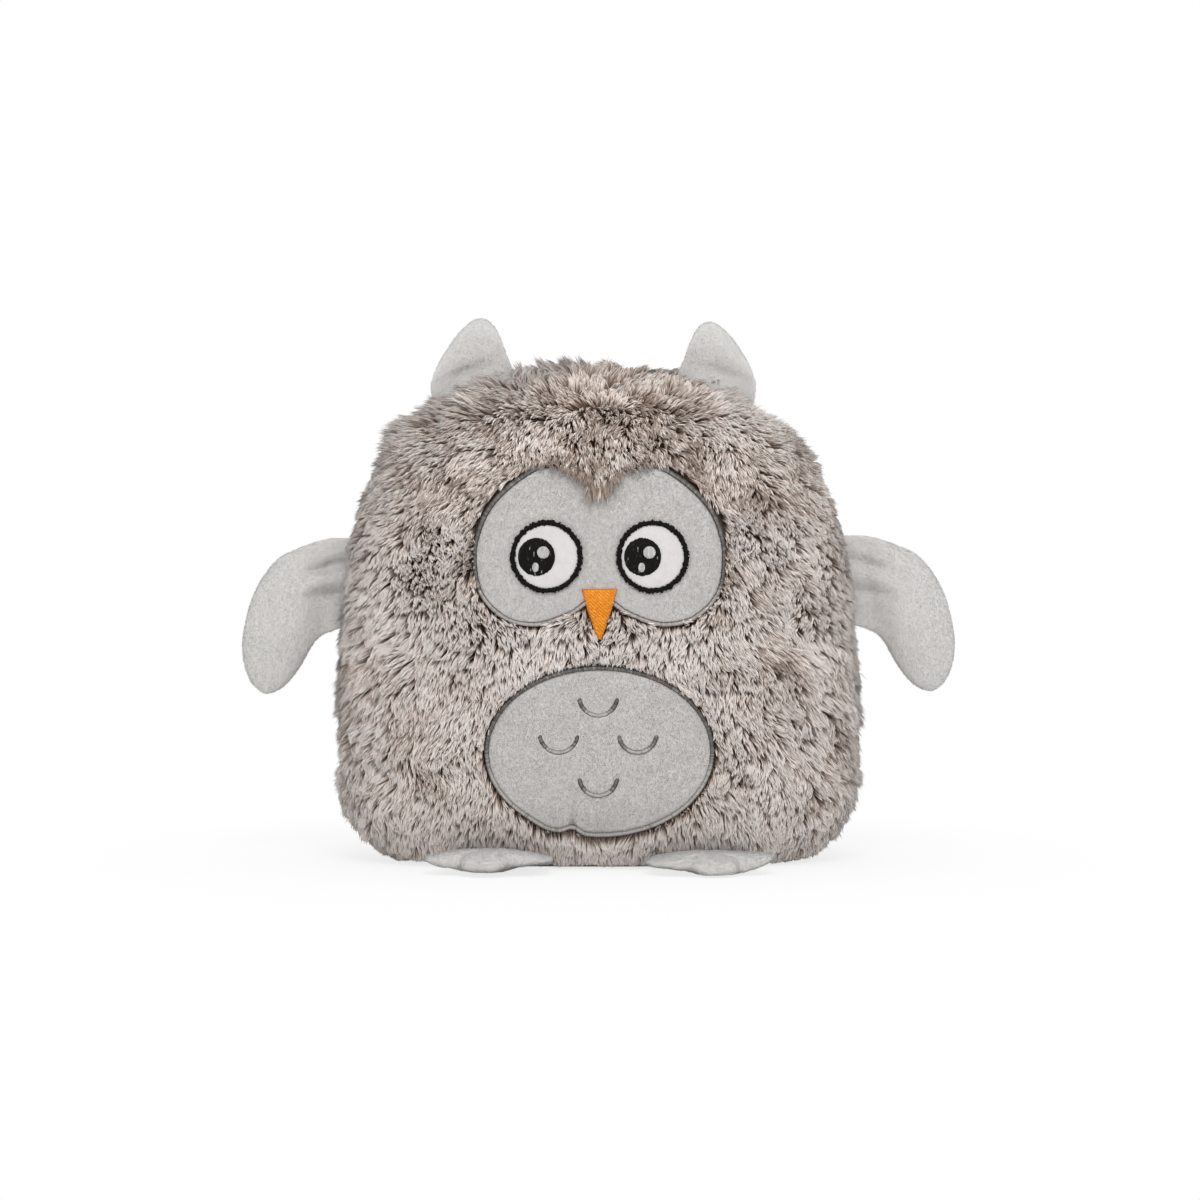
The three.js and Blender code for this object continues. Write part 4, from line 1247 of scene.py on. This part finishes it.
edgeSatin("face", faceOutline(720), 0.42, 100, 116)
edgeSatin("belly", bellyOutline(720), 0.4, 34, 50)
embroiderEye("left", -1)
embroiderEye("right", 1)
stitchedFill(
    "beak_fill_stitching", beak["top"] - beak["length"], beak["top"], lambda z: (-beakHalfWidth(z), beakHalfWidth(z)),
    layers["patch"] - 0.3, 1.7, "orange_thread", ("beak",), thread=0.5, ragged=0.25, stitch=1.5,
)
for name, (x, z) in zip(("high", "left", "right", "low"), markPlaces()):
    angle = -np.pi / 2 + np.linspace(-mark["halfSweep"], mark["halfSweep"], 90)
    path = np.stack([x + mark["radius"] * np.cos(angle), z + mark["radius"] * np.sin(angle)], axis=1)
    satinBand(
        f"{name}_feather_satin", path, mark["width"] / 2, layers["patch"], mark["height"] * 0.8,
        "grey_thread", (f"{name}_feather_mark",), ragged=0.3, thread=0.5, closed=False, endShade=0.45,
    )
print("embroidery made")


# wings, ears and feet: two panels of plush sewn round the edge and turned

limbSeam = {"gap": 0.3, "rootSkinShare": 0.5, "fullness": 0.7, "inFur": 5.5, "bendStart": -3, "bendEnd": 8}

wing = {
    "reach": 36.7, "drop": 47.5, "root": 34, "bulges": (5.2, 5.2), "pinch": 17, "skin": 1.2,
    "edge": [
        (0.08, -0.42), (0.22, -0.52), (0.37, -0.76), (0.49, -0.905), (0.6, -0.975), (0.71, -1), (0.84, -0.943),
        (0.945, -0.81), (1, -0.61), (0.99, -0.43), (0.94, -0.22), (0.84, -0.03), (0.69, 0.13), (0.5, 0.22),
        (0.25, 0.31),
    ],
    "centre": (0.58, -0.36), "place": (100.8608, 0, 110), "lean": 5.77,
}
ear = {
    "root": 35, "height": 22, "bulges": (1.4, 1.4), "pinch": 17, "cup": 3.4, "skin": 1.4, "out": 48.8,
    "edge": [
        (0.88, 0.15), (0.74, 0.31), (0.5, 0.51), (0.17, 0.71), (-0.15, 0.87), (-0.45, 0.97), (-0.68, 1),
        (-0.87, 0.93), (-0.98, 0.76), (-1.01, 0.5), (-1, 0.22),
    ],
    "centre": (-0.25, 0.45),
}
foot = {
    "width": 49, "length": 33, "root": 38, "bulges": (1.3, 4.9), "pinch": 7, "skin": 1.2, "out": 39,
    "edge": [
        (0.86, 0.3), (0.99, 0.56), (0.9, 0.78), (0.66, 0.86), (0.42, 0.82), (0.27, 0.95), (0, 1), (-0.27, 0.95),
        (-0.42, 0.82), (-0.66, 0.86), (-0.9, 0.78), (-0.99, 0.56), (-0.86, 0.3),
    ],
    "centre": (0, 0.52),
}


def roomFor(skin):
    return limbSeam["gap"] / 2 + skin * limbSeam["rootSkinShare"] + limbSeam["gap"]


def chordOf(curve, middle, length):
    near, centre, far = (curve(middle + share * length) for share in (-0.5, 0, 0.5))
    slope = math.atan2(near - far, length)
    return slope, (centre - (near + far) / 2) * math.cos(slope), centre


def seamHeightAt(out):
    return body["height"] * (1 - ((out + body["seamDip"]) / (body["width"] / 2)) ** 2) ** (1 / body["shoulderPower"])


def limbOutline(limb, size, ends, sag, count):
    # the free edge and the root line between its ends, and the limb's middle
    start, end = np.array(ends[0], float), np.array(ends[1], float)
    back = unit(np.array([start[1] - end[1], end[0] - start[0]])) * sag
    outline = evenly(smoothCurve([start + back, *(np.array(limb["edge"]) * size), end + back], 24), count)
    share = np.linspace(0, 1, 26)[1:-1, None]
    root = end + (start - end) * share + back * (2 * share - 1) ** 2
    return np.vstack([outline, root]), np.array(limb["centre"]) * size


# the shares of the way from a limb's middle to its edge at which its rings lie
limbShares = [*np.linspace(0.05, 0.9, 22), 0.93, 0.955, 0.975, 0.99, 1.0]


def makeLimb(limb, outline, centre, fromRoot, bend, relief):
    # rings from the back's middle over the edge to the front's middle; height runs from back to front
    def ringOf(share, side, bulge):
        flat = centre + share * (outline - centre)
        firm = smoothStep(fromRoot(flat), 0, limb["pinch"])
        full = (1 - share**2) ** limbSeam["fullness"] * firm
        skin = limb["skin"] * (limbSeam["rootSkinShare"] + (1 - limbSeam["rootSkinShare"]) * firm)
        skin = skin * math.sqrt(max(1 - share**16, 0)) ** 0.8
        height = side * (limbSeam["gap"] * 0.2 + skin + bulge * full) + relief(flat, side) * (1 - share**6)
        return placed(flat, height + bend(flat))

    under, over = limb["bulges"]
    rings = [ringOf(s, -1, under) for s in limbShares] + [ringOf(s, 1, over) for s in limbShares[::-1]]
    return closedSkin(rings[0].mean(axis=0), rings, rings[-1].mean(axis=0))


def inFur(points, out):
    # the seam end reaches in through the pile to the backing
    return points - limbSeam["inFur"] * (1 - smoothStep(points[:, out], -2, 6))[:, None] * np.eye(3)[out]


def wingRelief(flat, side, folded):
    # two folds where the wing is gathered into its seam, and a soft unevenness
    reach, level = np.clip(flat[:, 0], 0, None), flat[:, 1]
    high = bump(level + 0.42 * reach, 7.5, 2.3) * bump(reach, 0, 14)
    low = bump(level + 0.2 * reach, -5.0, 1.9) * bump(reach, 0, 8)
    ridge = bump(level + 0.35 * reach, 1.2, 2.6) * bump(reach, 0, 13)
    return folded * (3.9 * high + 3.5 * low - 2.4 * ridge) + side * 0.45 * softNoise(placed(flat, 9.0 * side), 13, 71)


def smallRelief(flat, side):
    return 0.22 * side * softNoise(placed(flat, 9.0 * side), 8, 73)


def earRelief(flat, side):
    # a shallow hollow over the seam, where the ear is gathered
    return smallRelief(flat, side) + 1.6 * bump(flat[:, 0], 0, 7) * bump(flat[:, 1], 4, 2.6) * (side < 0)


def earHollowPaintedShade(places):
    # painted shade darkens the pile in the ear's hollow, more so in the left one
    x, y, z = places.T
    out = np.abs(x) - np.where(x < 0, 49.5, 44.5)
    return -np.where(x < 0, 0.5, 0.3) * bump(out, 0, 9) * bump(z + 0.42 * out, 193.4, 3.4) * (y < 0)


def footBend(flat):
    # the seam's edge lifts a little between the toes
    return 0.5 * bump(np.abs(flat[:, 0]), 9.8, 3.0) * smoothStep(flat[:, 1], 20, 31)


def turnedY(points, degrees):
    angle = math.radians(degrees)
    x, z = points[:, 0], points[:, 2]
    turned = points.copy()
    turned[:, 0], turned[:, 2] = x * math.cos(angle) + z * math.sin(angle), z * math.cos(angle) - x * math.sin(angle)
    return turned


def seamBend(limbName, points):
    # the span round a limb's joint, from just inside its seam in the fur to a little further out; the piece itself is
    # left fixed in place
    joint = next(j for j in frame["joints"] if j["child"] == limbName)
    hinge, axis = np.array(joint["pos_m"]), np.array(joint["axis"])
    outward = points.mean(axis=0) * toMetres - hinge
    outward = unit(outward - axis * (outward @ axis))
    start, end = (hinge + outward * limbSeam[key] * toMetres for key in ("bendStart", "bendEnd"))
    return {"limb": limbName, "start": tuple(start), "end": tuple(end)}


def placeLimbs():
    half, footHalf, wingHalf = ear["root"] / 2, foot["root"] / 2, wing["root"] / 2
    earSlope, earSag, earUp = chordOf(seamHeightAt, ear["out"], ear["root"])
    room = roomFor(ear["skin"])
    earAt = np.array([ear["out"] + room * math.sin(earSlope), 0, earUp + room * math.cos(earSlope)])
    footUp = limbSeam["gap"] / 2 + foot["skin"] + foot["bulges"][0]
    footRoom = footUp + roomFor(foot["skin"])
    footTurn, footSag, footFront = chordOf(lambda x: float(-frontY(x, footRoom)), foot["out"], foot["root"])
    footAt = np.array([foot["out"], -(footFront + limbSeam["gap"] * math.cos(footTurn)), footUp])

    size = [wing["reach"], wing["drop"]]
    wingLine, wingMiddle = limbOutline(wing, size, [(0, -wingHalf), (0, wingHalf)], 0, 300)
    # the left wing is gathered into deeper folds than the right one
    wingForms = [
        makeLimb(
            wing, wingLine, wingMiddle, lambda f: f[:, 0], lambda f: 0 * f[:, 0], lambda f, s: wingRelief(f, s, folded)
        )
        for folded in (1.1, 0.7)
    ]
    earLine, earMiddle = limbOutline(ear, [half, ear["height"]], [(half, 0), (-half, 0)], earSag, 220)
    rising = lambda f: np.sin(np.pi * np.clip(f[:, 1] / ear["height"], 0, 1))
    earBend = lambda f: -ear["cup"] * (f[:, 0] / half) ** 2 * rising(f)
    earForm = makeLimb(ear, earLine, earMiddle, lambda f: f[:, 1], earBend, earRelief)
    size = [foot["width"] / 2, foot["length"]]
    footLine, footMiddle = limbOutline(foot, size, [(footHalf, 0), (-footHalf, 0)], footSag, 260)
    footForm = makeLimb(foot, footLine, footMiddle, lambda f: f[:, 1], footBend, smallRelief)

    for name, side in (("left", -1), ("right", 1)):
        left = side < 0
        wingForm = wingForms[0 if left else 1]
        wingPoints = turnedY(inFur(wingForm[0], 0), -wing["lean"]) + wing["place"]
        wingPoints = wingPoints + ([0, 0, 0] if left else [-0.8, 0, 1.0])
        # the right ear is sewn on a little nearer the middle, and is smaller
        earSize, earShift = ((1, 1, 1), [1.6, 0, 0]) if left else ((0.94, 1, 0.95), [-2.2, 0, 0])
        earPoints = turnedY(inFur(earForm[0] * earSize, 2), math.degrees(earSlope)) + earAt + earShift
        u, h, v = footForm[0].T
        cos, sin = math.cos(footTurn), math.sin(footTurn)
        # the left foot is sewn on a little toes-up, the right one with its outer side up
        lifted = h + (1.4 * smoothStep(v, 4, 24) if left else 1.8 * smoothStep(u, 10, 23))
        # the sole curves up to the sides, most at the left foot's outer side
        curl = 2.4 * smoothStep(np.abs(u - 3.3), 7, 21) + 0.8 * bump(np.abs(u - 2), 11.5, 3)
        lifted = lifted + curl * (1 - smoothStep(h, h.min(), h.max()))
        v = v - limbSeam["inFur"] * (1 - smoothStep(v, -2, 6)) - 4 * smoothStep(-u, 6, 24)
        footPoints = np.stack([u * cos + v * sin, u * sin - v * cos, lifted], axis=1) + footAt
        wingLay = (0.3 * side, 0, -1)
        limbs = (
            ("wing", wingPoints, wingForm, wingLine, wingLay, 0.7, ("front_panel", "back_panel", "wadding")),
            ("ear", earPoints, earForm, earLine, (0, 0, 1), 0.5, ("front_panel", "back_panel")),
            ("foot", footPoints, footForm, footLine, (0, -1, 0), 0.6, ("sole_panel", "top_panel", "wadding")),
        )
        for kind, points, (_, quads, tris), line, lay, fill, nodes in limbs:
            limbName = f"{name}_{kind}"
            points = points * [side, 1, 1]
            if left:
                quads, tris = quads[:, ::-1], tris[:, ::-1]
            bodyName = seamBend(limbName, points)
            replaced = [f"{limbName}_{node}" for node in nodes]
            piece = makePiece(
                f"{limbName}_plush", points, [quads, tris], plushGroundLook, bodyName, replaced=replaced
            )
            if kind == "foot":
                more = {"keep": lambda centres: centres[:, 2] > 1.2}
            else:
                rimAt = 1 + (len(limbShares) - 1) * len(line)
                more = {"rim": points[rimAt : rimAt + len(line)][:, [0, 2]]}
            if kind == "ear":
                more["shade"] = earHollowPaintedShade
            makePile(f"{limbName}_pile", (points, quads, tris), lay, limbNap, bodyName, limbPileLook, **more)


placeLimbs()
print("wings, ears and feet made")


# the base: a flat panel of the same plush, sewn in under the fur

def makeBase():
    outline = evenly(sectionAt(0, 0, 400)[:, :2], 300, True)
    outline = insetLine(outline, body["baseMargin"] + 0.3)
    top = body["baseThickness"]
    levels = (
        (0.25, 0), (0.6, 0), (0.96, 0), (0.985, 0.08), (0.995, 0.3), (1.0, 0.7),
        (1.0, top - 0.8), (0.99, top - 0.3), (0.96, top), (0.6, top), (0.25, top),
    )
    rings = [np.column_stack([outline * share, np.full(len(outline), height)]) for share, height in levels]
    points, quads, tris = closedSkin([0, 0, 0], rings, [0, 0, top])
    makePiece(
        "base_plush", points, [quads, tris], plushGroundLook, "torso", replaced=("base_panel",)
    )


makeBase()
print("base made")
